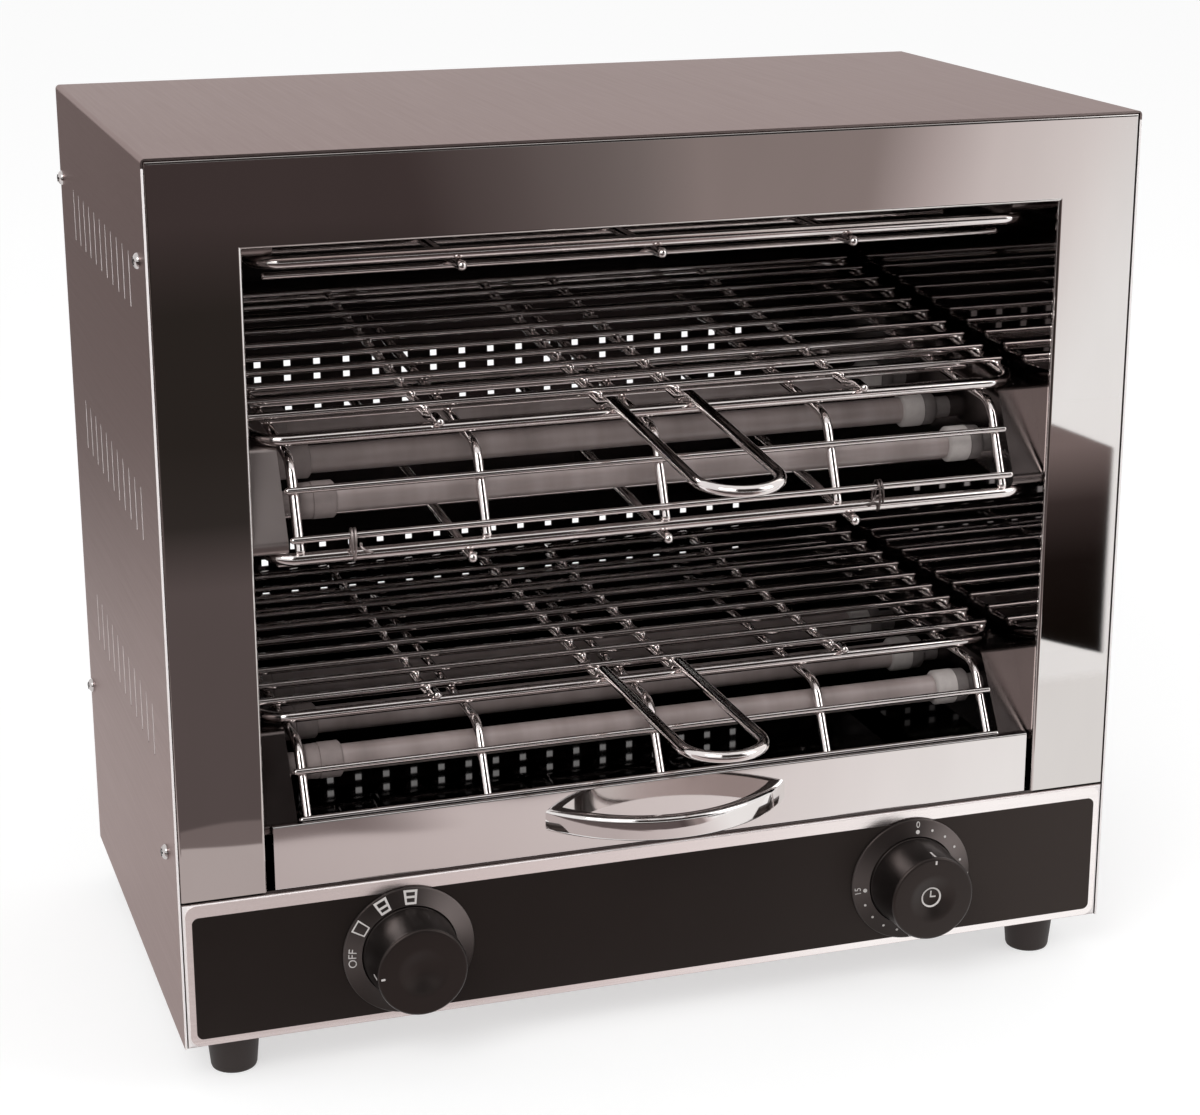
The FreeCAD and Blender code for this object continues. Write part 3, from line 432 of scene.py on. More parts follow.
def makeWireTree():
    tree = Tree("sweepWires", [("Radius", "NodeSocketFloat"), ("Sides", "NodeSocketInt"),
                               ("Round ends", "NodeSocketBool"), ("Finish", "NodeSocketMaterial")])
    path = tree.given("Geometry")
    ring = tree.node("GeometryNodeCurvePrimitiveCircle", {},
                     {"Resolution": tree.given("Sides"), "Radius": tree.given("Radius")})
    tube = tree.node("GeometryNodeCurveToMesh", {},
                     {"Curve": path, "Profile Curve": ring.outputs["Curve"], "Fill Caps": True})
    ends = tree.node("GeometryNodeCurveEndpointSelection", {}, {"Start Size": 1, "End Size": 1})
    both = tree.node("FunctionNodeBooleanMath", {"operation": "AND"},
                     {0: ends.outputs[0], 1: tree.given("Round ends")})
    ball = tree.node("GeometryNodeMeshUVSphere", {},
                     {"Segments": tree.given("Sides"), "Rings": 8, "Radius": tree.given("Radius")})
    tips = tree.node("GeometryNodeInstanceOnPoints", {},
                     {"Points": path, "Selection": both.outputs[0], "Instance": ball.outputs["Mesh"]})
    joined = tree.node("GeometryNodeJoinGeometry")
    tree.group.links.new(tips.outputs[0], joined.inputs[0])
    tree.group.links.new(tube.outputs[0], joined.inputs[0])
    real = tree.node("GeometryNodeRealizeInstances", {}, {0: joined.outputs[0]})
    smooth = tree.node("GeometryNodeSetShadeSmooth", {}, {"Geometry": real.outputs[0]})
    coloured = tree.node("GeometryNodeSetMaterial", {},
                         {"Geometry": smooth.outputs[0], "Material": tree.given("Finish")})
    return tree.finish(coloured.outputs[0])


def makeRepeatTree():
    tree = Tree("repeatOnPoints", [("Shape", "NodeSocketObject"), ("Finish", "NodeSocketMaterial")])
    turn = tree.node("GeometryNodeInputNamedAttribute", {"data_type": "FLOAT_VECTOR"}, {"Name": "turn"})
    shape = tree.node("GeometryNodeObjectInfo", {}, {"Object": tree.given("Shape")})
    copies = tree.node("GeometryNodeInstanceOnPoints", {},
                       {"Points": tree.given("Geometry"), "Instance": shape.outputs["Geometry"],
                        "Rotation": turn.outputs["Attribute"]})
    real = tree.node("GeometryNodeRealizeInstances", {}, {0: copies.outputs[0]})
    coloured = tree.node("GeometryNodeSetMaterial", {},
                         {"Geometry": real.outputs[0], "Material": tree.given("Finish")})
    return tree.finish(coloured.outputs[0])


wireTree = makeWireTree()
repeatTree = makeRepeatTree()


def runTree(carrier, tree, values):
    # Sets the inputs by their identifiers, evaluates once and gives a plain mesh
    modifier = carrier.modifiers.new("build", "NODES")
    modifier.node_group = tree
    for item in tree.interface.items_tree:
        if item.in_out == "INPUT" and item.name in values:
            modifier[item.identifier] = values[item.name]
    bpy.context.view_layer.update()
    view = bpy.context.evaluated_depsgraph_get()
    mesh = bpy.data.meshes.new_from_object(carrier.evaluated_get(view), depsgraph=view)
    carrier.modifiers.remove(modifier)
    bpy.data.objects.remove(carrier)
    return mesh


def wires(paths, thickness, sides=16, roundEnds=True, closed=False, finish="wire"):
    curve = bpy.data.curves.new("wirePaths", "CURVE")
    curve.dimensions = "3D"
    for path in paths:
        spline = curve.splines.new("POLY")
        spline.points.add(len(path) - 1)
        for point, place in zip(spline.points, path):
            point.co = (*place, 1)
        spline.use_cyclic_u = closed
    carrier = bpy.data.objects.new("wireCarrier", curve)
    bpy.context.scene.collection.objects.link(carrier)
    return runTree(carrier, wireTree, {"Radius": thickness / 2, "Sides": sides,
                                       "Round ends": roundEnds and not closed, "Finish": finishes[finish]})


def repeatShape(name, mesh, places, finish):
    # places: (position, rotation as Euler angles)
    holder = bpy.data.meshes.new(name)
    holder.from_pydata([tuple(p) for p, _ in places], [], [])
    turn = holder.attributes.new("turn", "FLOAT_VECTOR", "POINT")
    for i, (_, angles) in enumerate(places):
        turn.data[i].vector = angles
    carrier = bpy.data.objects.new(name + "Carrier", holder)
    shape = bpy.data.objects.new(name + "Shape", mesh)
    bpy.context.scene.collection.objects.link(carrier)
    bpy.context.scene.collection.objects.link(shape)
    made = runTree(carrier, repeatTree, {"Shape": shape, "Finish": finishes[finish]})
    bpy.data.objects.remove(shape)
    return made


# Places of the decks: u runs back along the deck and w stands up from the rack's cross wires
deckPlaces = {
    "lower": {"inset": 4.6 * mm, "height": 141.5 * mm, "tilt": 0.0},
    "middle": {"inset": -1.7 * mm, "height": 269.7 * mm, "tilt": math.radians(5)},
}


def deckPoint(deck, x, u, w):
    place = deckPlaces[deck]
    turn = Matrix.Rotation(place["tilt"], 3, "X")
    return Vector((0, frontY + place["inset"], bodyBottom + place["height"])) + turn @ Vector((x, u, w))


# Wire racks
rackSizes = {"width": 364 * mm, "rim": 5 * mm, "cross": 3.5 * mm, "depth": 4 * mm, "corner": 15 * mm,
             "tip": 7 * mm, "pitch": 20.4 * mm, "count": 10, "length": 219 * mm, "before": 4.5 * mm,
             "spread": 199 * mm, "handle": 5 * mm, "handleWidth": 36.8 * mm, "handleReach": 113 * mm,
             "kink": 6 * mm, "bead": 1.7 * mm}
rackPlaces = {"lower_rack": {"deck": "lower", "inset": 22.7 * mm, "first": 18.8 * mm},
              "upper_rack": {"deck": "middle", "inset": 15.3 * mm, "first": 28.3 * mm}}


def rimLoop(deck, half, u0, u1, w, corner, steps=7):
    points = [(0, u0), (half, u0), (half, u1), (-half, u1), (-half, u0), (0, u0)]
    path = roundedPath([deckPoint(deck, x, u, w) for x, u in points], [0] + [corner] * 4 + [0], steps)
    return path[:-1]


def weldBeads(deck, spots, size):
    beads = []
    for x, u, w in spots:
        ball = bmesh.new()
        bmesh.ops.create_icosphere(ball, subdivisions=1, radius=size)
        bmesh.ops.scale(ball, vec=(1.25, 1.25, 0.8), verts=ball.verts)
        bmesh.ops.translate(ball, vec=deckPoint(deck, x, u, w), verts=ball.verts)
        mesh = bpy.data.meshes.new("bead")
        ball.to_mesh(mesh)
        ball.free()
        mesh.shade_smooth()
        beads.append(mesh)
    return beads


def overFront(deck, x, inset, first, across, uEnd):
    s = rackSizes
    low = -(s["cross"] + across) / 2
    rimLevel = -(s["cross"] + s["rim"]) / 2
    high = rimLevel + (s["rim"] + across) / 2
    points = [(inset + s["length"], low), (inset + first - s["before"], low),
              (inset + s["tip"] + s["rim"] / 2, high), (uEnd, high)]
    return roundedPath([deckPoint(deck, x, u, w) for u, w in points], [0, s["kink"], s["kink"], 0], 3)


def makeRack(body):
    s = rackSizes
    place = rackPlaces[body]
    deck = place["deck"]
    inset = place["inset"]
    first = place["first"]
    gridNode = body + "_grid"
    handleNode = body + "_handle"
    half = (s["width"] - s["rim"]) / 2
    rimLevel = -(s["cross"] + s["rim"]) / 2
    rim = rimLoop(deck, half, inset + s["tip"], inset + s["length"], rimLevel, s["corner"])
    rows = [inset + first + s["pitch"] * i for i in range(s["count"])]
    reach = s["width"] / 2 - s["cross"] / 2
    cross = [[deckPoint(deck, -reach, u, 0), deckPoint(deck, reach, u, 0)] for u in rows]
    depth = [overFront(deck, side * s["spread"] / 2, inset, first, s["depth"], inset + s["depth"] / 2)
             for side in (-1, 1)]
    meshes = [wires([rim], s["rim"], closed=True), wires(cross, s["cross"], 12), wires(depth, s["depth"], 14)]
    lines = (half, s["spread"] / 2, s["handleWidth"] / 2)
    spots = [(side * x, u, -s["cross"] / 2) for u in rows for x in lines for side in (-1, 1)]
    meshes += weldBeads(deck, spots, s["bead"])
    grid = joinMeshes(gridNode + "Wires", meshes)
    newObject(gridNode + "Wires", grid, "wire", body, [gridNode])

    high = rimLevel + (s["rim"] + s["handle"]) / 2
    radius = s["handleWidth"] / 2
    uTurn = inset - s["handleReach"] + radius
    left = overFront(deck, -radius, inset, first, s["handle"], uTurn)
    right = overFront(deck, radius, inset, first, s["handle"], uTurn)
    steps = 16
    turnPoints = []
    for k in range(1, steps):
        angle = math.pi * k / steps
        turnPoints.append(deckPoint(deck, -radius * math.cos(angle), uTurn - radius * math.sin(angle), high))
    loop = left + turnPoints + right[::-1]
    handle = wires([loop], s["handle"], 18)
    newObject(handleNode + "Wire", handle, "wire", body, [handleNode])


makeRack("lower_rack")
makeRack("upper_rack")
print("racks made")


# Guard grids and the guards under the banks
guardSizes = {"wire": 3 * mm, "leg": 4.5 * mm, "legs": 5, "spread": 330 * mm, "front": 336 * mm,
              "drop": 41.5 * mm, "midDrop": 22.7 * mm, "midInset": 9.9 * mm, "tail": 4 * mm, "bend": 12 * mm,
              "first": 39.5 * mm, "pitch": 22.3 * mm, "count": 9, "back": 8 * mm, "seat": 0.3 * mm,
              "reach": 170 * mm}
underSizes = {"wire": 5.5 * mm, "depth": 4.5 * mm, "cross": 3 * mm, "width": 360 * mm, "corner": 12 * mm,
              "length": 226 * mm, "spread": 180 * mm, "tip": 4 * mm, "first": 18 * mm, "pitch": 57 * mm,
              "count": 4, "crossLength": 341 * mm, "inset": 1.6 * mm, "bracketFoot": 48 * mm,
              "topInset": 14.9 * mm, "topHeight": 345 * mm}
tieSizes = {"wire": 1.2 * mm, "left": -142 * mm, "right": 102 * mm, "wide": 3.6 * mm, "over": 2.6 * mm,
            "drift": 2.6 * mm, "twist": 0.9 * mm, "twistOut": 4.6 * mm, "twistRise": 2 * mm,
            "twistLength": 4.8 * mm, "loopSteps": 40, "twistSteps": 24}


def makeGuard(deck):
    g = guardSizes
    seatLevel = -(rackSizes["cross"] + rackSizes["rim"]) / 2 - rackSizes["rim"] / 2 - g["seat"]
    crossLevel = seatLevel - g["wire"] / 2
    legLevel = crossLevel - (g["wire"] + g["leg"]) / 2
    slope = Vector((0, g["midInset"], g["drop"] - g["midDrop"])).normalized()
    outward = Vector((0, slope.z, -slope.y))
    foot = Vector((0, 0, -g["drop"])) + outward * (g["wire"] + g["leg"]) / 2 - slope * g["tail"]
    corner = foot + slope * ((legLevel - foot.z) / slope.z)
    last = g["first"] + g["pitch"] * (g["count"] - 1)
    paths = []
    for i in range(g["legs"]):
        x = g["spread"] * (i / (g["legs"] - 1) - 0.5)
        points = [deckPoint(deck, x, p.y, p.z) for p in (foot, corner)]
        points.append(deckPoint(deck, x, last + g["back"], legLevel))
        paths.append(roundedPath(points, [0, g["bend"], 0], 8))
    half = g["front"] / 2
    rows = [(half, 0, -g["drop"]), (half, g["midInset"], -g["midDrop"])]
    for i in range(g["count"]):
        rows.append((g["reach"], g["first"] + g["pitch"] * i, crossLevel))
    cross = [[deckPoint(deck, -x, u, w), deckPoint(deck, x, u, w)] for x, u, w in rows]
    joined = joinMeshes("guard", [wires(paths, g["leg"], 16), wires(cross, g["wire"], 12)])
    newObject("guardWires_" + deck, joined, "wire", "body", ["guard_grid_" + deck])


def makeUnder(name, place, node):
    s = underSizes
    half = (s["width"] - s["wire"]) / 2
    points = [(0, 0), (half, 0), (half, s["length"]), (-half, s["length"]), (-half, 0), (0, 0)]
    rim = roundedPath([place(x, u, 0) for x, u in points], [0] + [s["corner"]] * 4 + [0], 7)[:-1]
    depthLevel = -(s["wire"] + s["depth"]) / 2
    crossLevel = depthLevel - (s["depth"] + s["cross"]) / 2
    front = -s["wire"] / 2 - s["tip"] + s["depth"] / 2
    depth = [[place(x, front, depthLevel), place(x, s["length"], depthLevel)]
             for x in (-s["spread"] / 2, 0, s["spread"] / 2)]
    reach = s["crossLength"] / 2
    rows = [s["first"] + s["pitch"] * i for i in range(s["count"])]
    cross = [[place(-reach, u, crossLevel), place(reach, u, crossLevel)] for u in rows]
    joined = joinMeshes(name, [wires([rim], s["wire"], closed=True), wires(depth, s["depth"], 14),
                               wires(cross, s["cross"], 12)])
    newObject(name, joined, "wire", "body", [node])


makeGuard("lower")
makeGuard("middle")
underLevel = -underSizes["bracketFoot"] - underSizes["wire"] / 2
topUnder = Vector((0, frontY + underSizes["topInset"], bodyBottom + underSizes["topHeight"]))


def underMiddle(x, u, w):
    return deckPoint("middle", x, u + underSizes["inset"], w + underLevel)


def underTop(x, u, w):
    return topUnder + Vector((x, u, w))


makeUnder("underGuardMiddleWires", underMiddle, "under_guard_middle")
makeUnder("underGuardTopWires", underTop, "under_guard_top")


def makeTies():
    # A turn and a half of soft wire with twisted ends, round two wires of the guards
    t = tieSizes
    top = Vector((0, 0, -guardSizes["drop"]))
    low = Vector((0, underSizes["inset"], underLevel))
    middle = (top + low) / 2
    tall = (top - low).length / 2 + t["over"]
    paths = []
    for x, lean in ((t["left"], 1), (t["right"], -1)):
        loop = []
        for k in range(t["loopSteps"] + 1):
            part = k / t["loopSteps"]
            angle = (3.4 * part - 0.6) * math.pi
            across = x + lean * (part - 0.5) * t["drift"]
            loop.append(deckPoint("middle", across, middle.y + math.sin(angle) * t["wide"],
                                  middle.z + math.cos(angle) * tall))
        twist = []
        for k in range(t["twistSteps"] + 1):
            part = k / t["twistSteps"]
            angle = 2.2 * math.pi * part
            across = x + lean * (1.4 * mm + part * 5.28 * mm) + math.cos(angle) * 0.8 * mm
            u = middle.y - t["twistOut"] + math.sin(angle) * t["twist"]
            twist.append(deckPoint("middle", across, u, middle.z + t["twistRise"] - part * t["twistLength"]))
        paths += [loop, twist]
    newObject("wireTies", wires(paths, t["wire"], 10), "bracket", "body", ["guard_ties"])


makeTies()
print("guards made")


# Quartz tubes and their ceramic ends
tubeSizes = {"tube": 12.5 * mm, "inset": 24 * mm, "pitch": 51 * mm, "count": 3, "inner": 145 * mm,
             "outer": 162 * mm, "end": 178 * mm, "collar": 16.5 * mm, "spigot": 10 * mm, "wall": 1.2 * mm,
             "lowerLevel": -24 * mm, "middleLevel": -33 * mm, "topInset": 10 * mm, "topLevel": 21 * mm}


def tubeCentre(bank, i):
    s = tubeSizes
    if bank == "top":
        return topUnder + Vector((0, s["topInset"] + s["pitch"] * i, s["topLevel"]))
    return deckPoint(bank, 0, s["inset"] + s["pitch"] * i, s[bank + "Level"])


def collarProfile():
    s = tubeSizes
    r = s["collar"] / 2
    step = s["inner"] + 10.5 * mm
    rim = 1.0 * mm
    return [(s["inner"] - 0.4 * mm, s["tube"] / 2 - 1 * mm), (s["inner"], r - rim), (s["inner"] + rim, r),
            (step - 0.4 * mm, r), (step, r - 0.5 * mm), (step + 0.4 * mm, r - 0.2 * mm),
            (s["outer"] - rim, r - 0.4 * mm), (s["outer"], r - 1.4 * mm),
            (s["outer"] + 0.2 * mm, s["spigot"] / 2),
            (s["end"], s["spigot"] / 2), (s["end"], 0.5 * mm)]


def makeHeaters(bank):
    s = tubeSizes
    caps = []
    for i in range(s["count"]):
        centre = tubeCentre(bank, i)
        r = s["tube"] / 2
        bore = r - s["wall"]
        profile = [(-s["inner"], bore), (-s["inner"], r), (s["inner"], r), (s["inner"], bore)]
        tube = sharpEdges(lathe("tube", profile, centre, (1, 0, 0), 48))
        newObject("tubeGlass_" + bank + str(i + 1), tube, "quartz", "body",
                  ["quartz_tube_" + bank + "_" + str(i + 1)])
        for side in (-1, 1):
            caps.append(lathe("cap", collarProfile(), centre, (side, 0, 0), 40))
    joined = sharpEdges(joinMeshes("caps", caps), 50)
    newObject("tubeEnds_" + bank, joined, "ceramic", "body", ["ceramic_caps_" + bank])


for bank in ("lower", "middle", "top"):
    makeHeaters(bank)
print("heaters made")


# Tray handle: a bowed strip with a rounded outer face
bowSizes = {"span": 116 * mm, "reach": 27.8 * mm, "height": 11 * mm, "thick": 4.5 * mm, "end": 8 * mm,
            "rise": 16.7 * mm, "steps": 49,
            "edge": ((0.5, 1), (0.8, 0.95), (0.94, 0.84), (1, 0.66), (1, 0), (1, -0.66), (0.94, -0.84),
                     (0.8, -0.95), (0.5, -1))}


def arcThrough(half, reach, count):
    radius = (half * half + reach * reach) / (2 * reach)
    sweep = math.asin(min(1, half / radius))
    if reach > half:
        sweep = math.pi - sweep
    points = []
    for k in range(count):
        angle = -sweep + 2 * sweep * k / (count - 1)
        points.append((radius * math.sin(angle), -(radius * math.cos(angle) - (radius - reach))))
    return points


def makeBow():
    s = bowSizes
    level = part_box("crumb_tray")[0].z + s["rise"]
    count = s["steps"]
    outer = arcThrough(s["span"] / 2, s["reach"], count)
    inner = arcThrough(s["span"] / 2 - s["end"], s["reach"] - s["thick"], count)
    h = s["height"] / 2
    points = []
    faces = []
    ringSize = len(s["edge"]) + 4
    for (ox, oy), (ix, iy) in zip(outer, inner):
        ring = [(ix, iy, -h + 0.5 * mm), (ix, iy, h - 0.5 * mm), (ix, iy, h - 0.1 * mm)]
        for share, rise in s["edge"]:
            ring.append((ix + (ox - ix) * share, iy + (oy - iy) * share, h * rise))
        ring.append((ix, iy, -h + 0.1 * mm))
        points += [Vector((x, frontY + y, level + z)) for x, y, z in ring]
    for i in range(count - 1):
        for j in range(ringSize):
            a = i * ringSize + j
            b = i * ringSize + (j + 1) % ringSize
            faces.append((a, b, b + ringSize, a + ringSize))
    faces.append(tuple(range(ringSize)))
    faces.append(tuple((count - 1) * ringSize + j for j in reversed(range(ringSize))))
    mesh = sharpEdges(meshFrom("bow", points, faces), 40)
    newObject("trayHandleBow", mesh, "tray", "crumb_tray", ["tray_handle"])


makeBow()


# Painted sheen of the dial plates: plain tone, groove pitch, and two lighter fans (clock angle, sharpness,
# colour)
dialSheen = {"plain": (0.0105, 0.0086, 0.0082), "groove": 0.45 * mm,
             "fans": ((52, 5.0, (0.16, 0.135, 0.13)), (-88, 7.0, (0.062, 0.052, 0.05)))}


def dialMetal(name):
    # Turned black dial plate with a painted sheen: lighter colour gathers in two fans, where a brushed disc
    # would catch the light
    shade = Shade(name)
    x = shade.axis(0)
    dx = x - (x > 0) * dialSizes["spread"] + dialSizes["spread"] / 2
    dz = shade.axis(2) - (bodyBottom + dialSizes["height"])
    reach = (dx * dx + dz * dz).maths("SQRT")
    tone = dialSheen["plain"]
    for clock, sharp, light in dialSheen["fans"]:
        angle = math.radians(clock)
        along = (dx * math.sin(angle) + dz * math.cos(angle)) / reach
        fan = along.maths("MAXIMUM", 0.0).maths("POWER", sharp)
        tone = shade.mix(fan, tone, light)
    grooves = (reach * (2 * math.pi / dialSheen["groove"])).maths("SINE")
    return shade.finish(colour=tone, rough=0.36, shine=0.3, edge=(1.0, 0.8, 0.74),
                        normal=shade.bump(grooves, 0.04, 0.0001))


# Dials
dialSizes = {"spread": 246 * mm, "height": 34 * mm, "ring": 60.5 * mm, "bore": 44 * mm, "thick": 3 * mm,
             "rim": 1.6 * mm, "base": 43 * mm, "face": 41.2 * mm, "reach": 27 * mm, "skirt": 3 * mm,
             "gap": 1.4 * mm, "edge": 1.5 * mm, "dish": 23 * mm, "dishDepth": 3.2 * mm, "print": 0.12 * mm}
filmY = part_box("panel_film")[0].y
finishes["dial"] = dialMetal("dialPlate")


def dialCentre(side):
    return Vector((side * dialSizes["spread"] / 2, frontY, bodyBottom + dialSizes["height"]))


def dishDepth(radius):
    part = 1 - min(1, radius / (dialSizes["dish"] / 2))
    return dialSizes["dishDepth"] * math.sin(math.pi / 2 * part) ** 1.3


def knobProfile():
    s = dialSizes
    r0 = s["base"] / 2
    r1 = s["face"] / 2
    dish = s["dish"] / 2
    base = s["gap"]
    face = s["reach"]
    skirt = base + s["skirt"]
    profile = [(base + 3 * mm, 3.1 * mm), (base + 3 * mm, r0 - 3 * mm), (base, r0 - 2.6 * mm),
               (base, r0 - 0.3 * mm), (base + 0.3 * mm, r0), (skirt - 0.3 * mm, r0), (skirt, r0 - 0.3 * mm),
               (skirt + 0.9 * mm, r1 + 0.9 * mm), (skirt + 1.6 * mm, r1 + 0.6 * mm)]
    for k in range(9):
        angle = math.pi / 2 * k / 8
        profile.append((face - s["edge"] * (1 - math.sin(angle)), r1 - s["edge"] * (1 - math.cos(angle))))
    profile.append((face, dish + 0.6 * mm))
    for k in range(9):
        radius = dish * (1 - k / 8)
        profile.append((face - dishDepth(radius), radius + 0.02 * mm))
    return profile


def ringProfile():
    s = dialSizes
    inner = s["bore"] / 2
    outer = s["ring"] / 2
    back = frontY - filmY
    return [(back, inner), (back, outer - 0.2 * mm), (back + 0.3 * mm, outer),
            (back + s["rim"] - 0.4 * mm, outer), (back + s["rim"], outer - 0.4 * mm),
            (back + s["thick"] - 0.2 * mm, inner + 0.5 * mm),
            (back + s["thick"], inner + 0.2 * mm), (back + s["thick"] - 0.4 * mm, inner), (back, inner)]


def onRing(side, radius, clock, lift):
    # A point on the sloping ring: clock is the angle clockwise from the top
    s = dialSizes
    share = (s["ring"] / 2 - radius) / (s["ring"] / 2 - s["bore"] / 2)
    height = frontY - filmY + s["rim"] + (s["thick"] - s["rim"]) * share
    centre = dialCentre(side)
    return Vector((centre.x + radius * math.sin(clock), frontY - height - lift,
                   centre.z + radius * math.cos(clock)))


def flatMark(outline, place):
    # A thin plate with the outline given as (right, up) pairs, mapped by place
    count = len(outline)
    points = [place(a, b, 0) for a, b in outline] + [place(a, b, dialSizes["print"]) for a, b in outline]
    faces = [tuple(range(count)), tuple(count + i for i in reversed(range(count)))]
    for i in range(count):
        j = (i + 1) % count
        faces.append((i, j, count + j, count + i))
    return meshFrom("mark", points, faces, False)


def ringPlace(side, radius, clock):
    # Local axes of a mark on the ring: right runs clockwise and up points outward
    def place(a, b, lift):
        return onRing(side, radius + b, clock + a / radius, lift)
    return place


def bar(place, a0, a1, b0, b1):
    return flatMark([(a0, b0), (a1, b0), (a1, b1), (a0, b1)], place)


def dot(place, radius, steps=14):
    return flatMark([(radius * math.sin(2 * math.pi * k / steps), radius * math.cos(2 * math.pi * k / steps))
                     for k in range(steps)], place)


def lettering(text, size, side, radius, clock):
    # Generic words and numbers only, bent onto the ring
    curve = bpy.data.curves.new("words", "FONT")
    curve.body = text
    curve.size = size
    curve.align_x = "CENTER"
    curve.align_y = "CENTER"
    holder = bpy.data.objects.new("words", curve)
    bpy.context.scene.collection.objects.link(holder)
    bpy.context.view_layer.update()
    view = bpy.context.evaluated_depsgraph_get()
    mesh = bpy.data.meshes.new_from_object(holder.evaluated_get(view), depsgraph=view)
    bpy.data.objects.remove(holder)
    place = ringPlace(side, radius, clock)
    for vertex in mesh.vertices:
        vertex.co = place(vertex.co.x, vertex.co.y, dialSizes["print"])
    return mesh


def makeDial(side, body, name):
    centre = dialCentre(side)
    ring = sharpEdges(lathe(name + "Ring", ringProfile(), centre, (0, -1, 0), 96), 30)
    newObject(name + "DialRing", ring, "dial", "body", [name + "_dial_ring"])
    knob = sharpEdges(lathe(name + "Knob", knobProfile(), centre, (0, -1, 0), 96), 50)
    newObject(name + "KnobCap", knob, "plastic", body, [name + "_knob"])


def knobPlace(side, clock):
    # Marks on the knob's face: up points from the middle outward at the clock angle
    centre = dialCentre(side)

    def place(a, b, lift):
        x = a * math.cos(clock) + b * math.sin(clock)
        z = -a * math.sin(clock) + b * math.cos(clock)
        y = frontY - dialSizes["reach"] + dishDepth(math.hypot(x, z)) - lift
        return Vector((centre.x + x, y, centre.z + z))
    return place


makeDial(-1, "selector", "selector")
makeDial(1, "timer", "timer")


def sidePlace(side, clock):
    # Marks on the knob's side wall: up runs from the face towards the panel
    centre = dialCentre(side)
    radius = dialSizes["face"] / 2

    def place(a, b, lift):
        angle = clock + a / radius
        r = radius + lift + 0.05 * mm
        return Vector((centre.x + r * math.sin(angle), frontY - dialSizes["reach"] + b,
                       centre.z + r * math.cos(angle)))
    return place


def pointerMarks(side, clock):
    rim = dialSizes["face"] / 2 - dialSizes["edge"]
    face = bar(knobPlace(side, clock), -0.45 * mm, 0.45 * mm, rim - 1.8 * mm, rim)
    wall = bar(sidePlace(side, clock), -0.45 * mm, 0.45 * mm, dialSizes["edge"], 7 * mm)
    return [face, wall]


def boxMark(place, width, height, line, splits=()):
    # A framed box, with a bar across it at each split, as for a heater bank above and below
    w = width / 2
    h = height / 2
    bars = [(-w, w, h - line, h), (-w, w, -h, -h + line), (-w, -w + line, -h + line, h - line),
            (w - line, w, -h + line, h - line)]
    bars += [(-w + line, w - line, split - line / 2, split + line / 2) for split in splits]
    return [bar(place, a, b, c, d) for a, b, c, d in bars]


selectorMarks = {"radius": 26.2 * mm, "off": -90, "letters": 5.2 * mm, "pointer": -92,
                 "boxes": ({"clock": -58, "width": 5.6 * mm, "height": 6.4 * mm, "line": 0.6 * mm,
                            "splits": ()},
                           {"clock": -27, "width": 5.8 * mm, "height": 6.6 * mm, "line": 1.0 * mm,
                            "splits": (-0.4 * mm,)},
                           {"clock": 2, "width": 5.8 * mm, "height": 6.6 * mm, "line": 1.0 * mm,
                            "splits": (0,)})}


def makeSelectorMarks():
    s = selectorMarks
    marks = [lettering("OFF", s["letters"], -1, s["radius"], math.radians(s["off"]))]
    for box in s["boxes"]:
        place = ringPlace(-1, s["radius"], math.radians(box["clock"]))
        marks += boxMark(place, box["width"], box["height"], box["line"], box["splits"])
    newObject("selectorRingMarks", joinMeshes("selectorMarks", marks), "print", "body")
    pointer = joinMeshes("selectorPointer", pointerMarks(-1, math.radians(s["pointer"])))
    newObject("selectorPointer", pointer, "print", "selector")


timerMarks = {"radius": 26.2 * mm, "zero": 5, "step": 17.33, "last": 15, "dot": 0.62 * mm,
              "bigDot": 1.0 * mm, "pointer": 3, "clockInner": 4.2 * mm, "clockOuter": 5.0 * mm,
              "clockSteps": 28, "hand": 0.35 * mm, "longHand": 3.1 * mm, "shortHand": 2.5 * mm}


def makeTimerMarks():
    s = timerMarks
    marks = []
    for k in range(s["last"] + 1):
        clock = math.radians(s["zero"] + s["step"] * k)
        if k in (0, s["last"]):
            marks.append(dot(ringPlace(1, s["radius"] - 1.9 * mm, clock), s["bigDot"]))
            marks.append(lettering(str(k), 4.2 * mm, 1, s["radius"] + 1.5 * mm, clock))
        else:
            marks.append(dot(ringPlace(1, s["radius"] - 0.4 * mm, clock), s["dot"]))
            if k % 5 == 0:
                marks.append(lettering(str(k), 3.0 * mm, 1, s["radius"] + 2.4 * mm, clock))
    newObject("timerRingMarks", joinMeshes("timerMarks", marks), "print", "body")
    place = knobPlace(1, 0)
    ring = []
    for k in range(s["clockSteps"]):
        a0, a1 = (2 * math.pi * turn / s["clockSteps"] for turn in (k, k + 1))
        inner, outer = s["clockInner"], s["clockOuter"]
        ring.append(flatMark([(r * math.sin(angle), r * math.cos(angle)) for angle, r in
                              ((a0, inner), (a1, inner), (a1, outer), (a0, outer))], place))
    ring.append(bar(place, -s["hand"], s["hand"], -s["hand"], s["longHand"]))
    ring.append(bar(place, -s["hand"], s["shortHand"], -s["hand"], s["hand"]))
    ring += pointerMarks(1, math.radians(s["pointer"]))
    newObject("timerPointer", joinMeshes("timerPointer", ring), "print", "timer")


makeSelectorMarks()
makeTimerMarks()
print("dials made")


# Feet
footSizes = {"taper": 2 * mm, "bore": 2.7 * mm, "recess": 5.5 * mm, "depth": 14 * mm, "lip": 0.4 * mm}


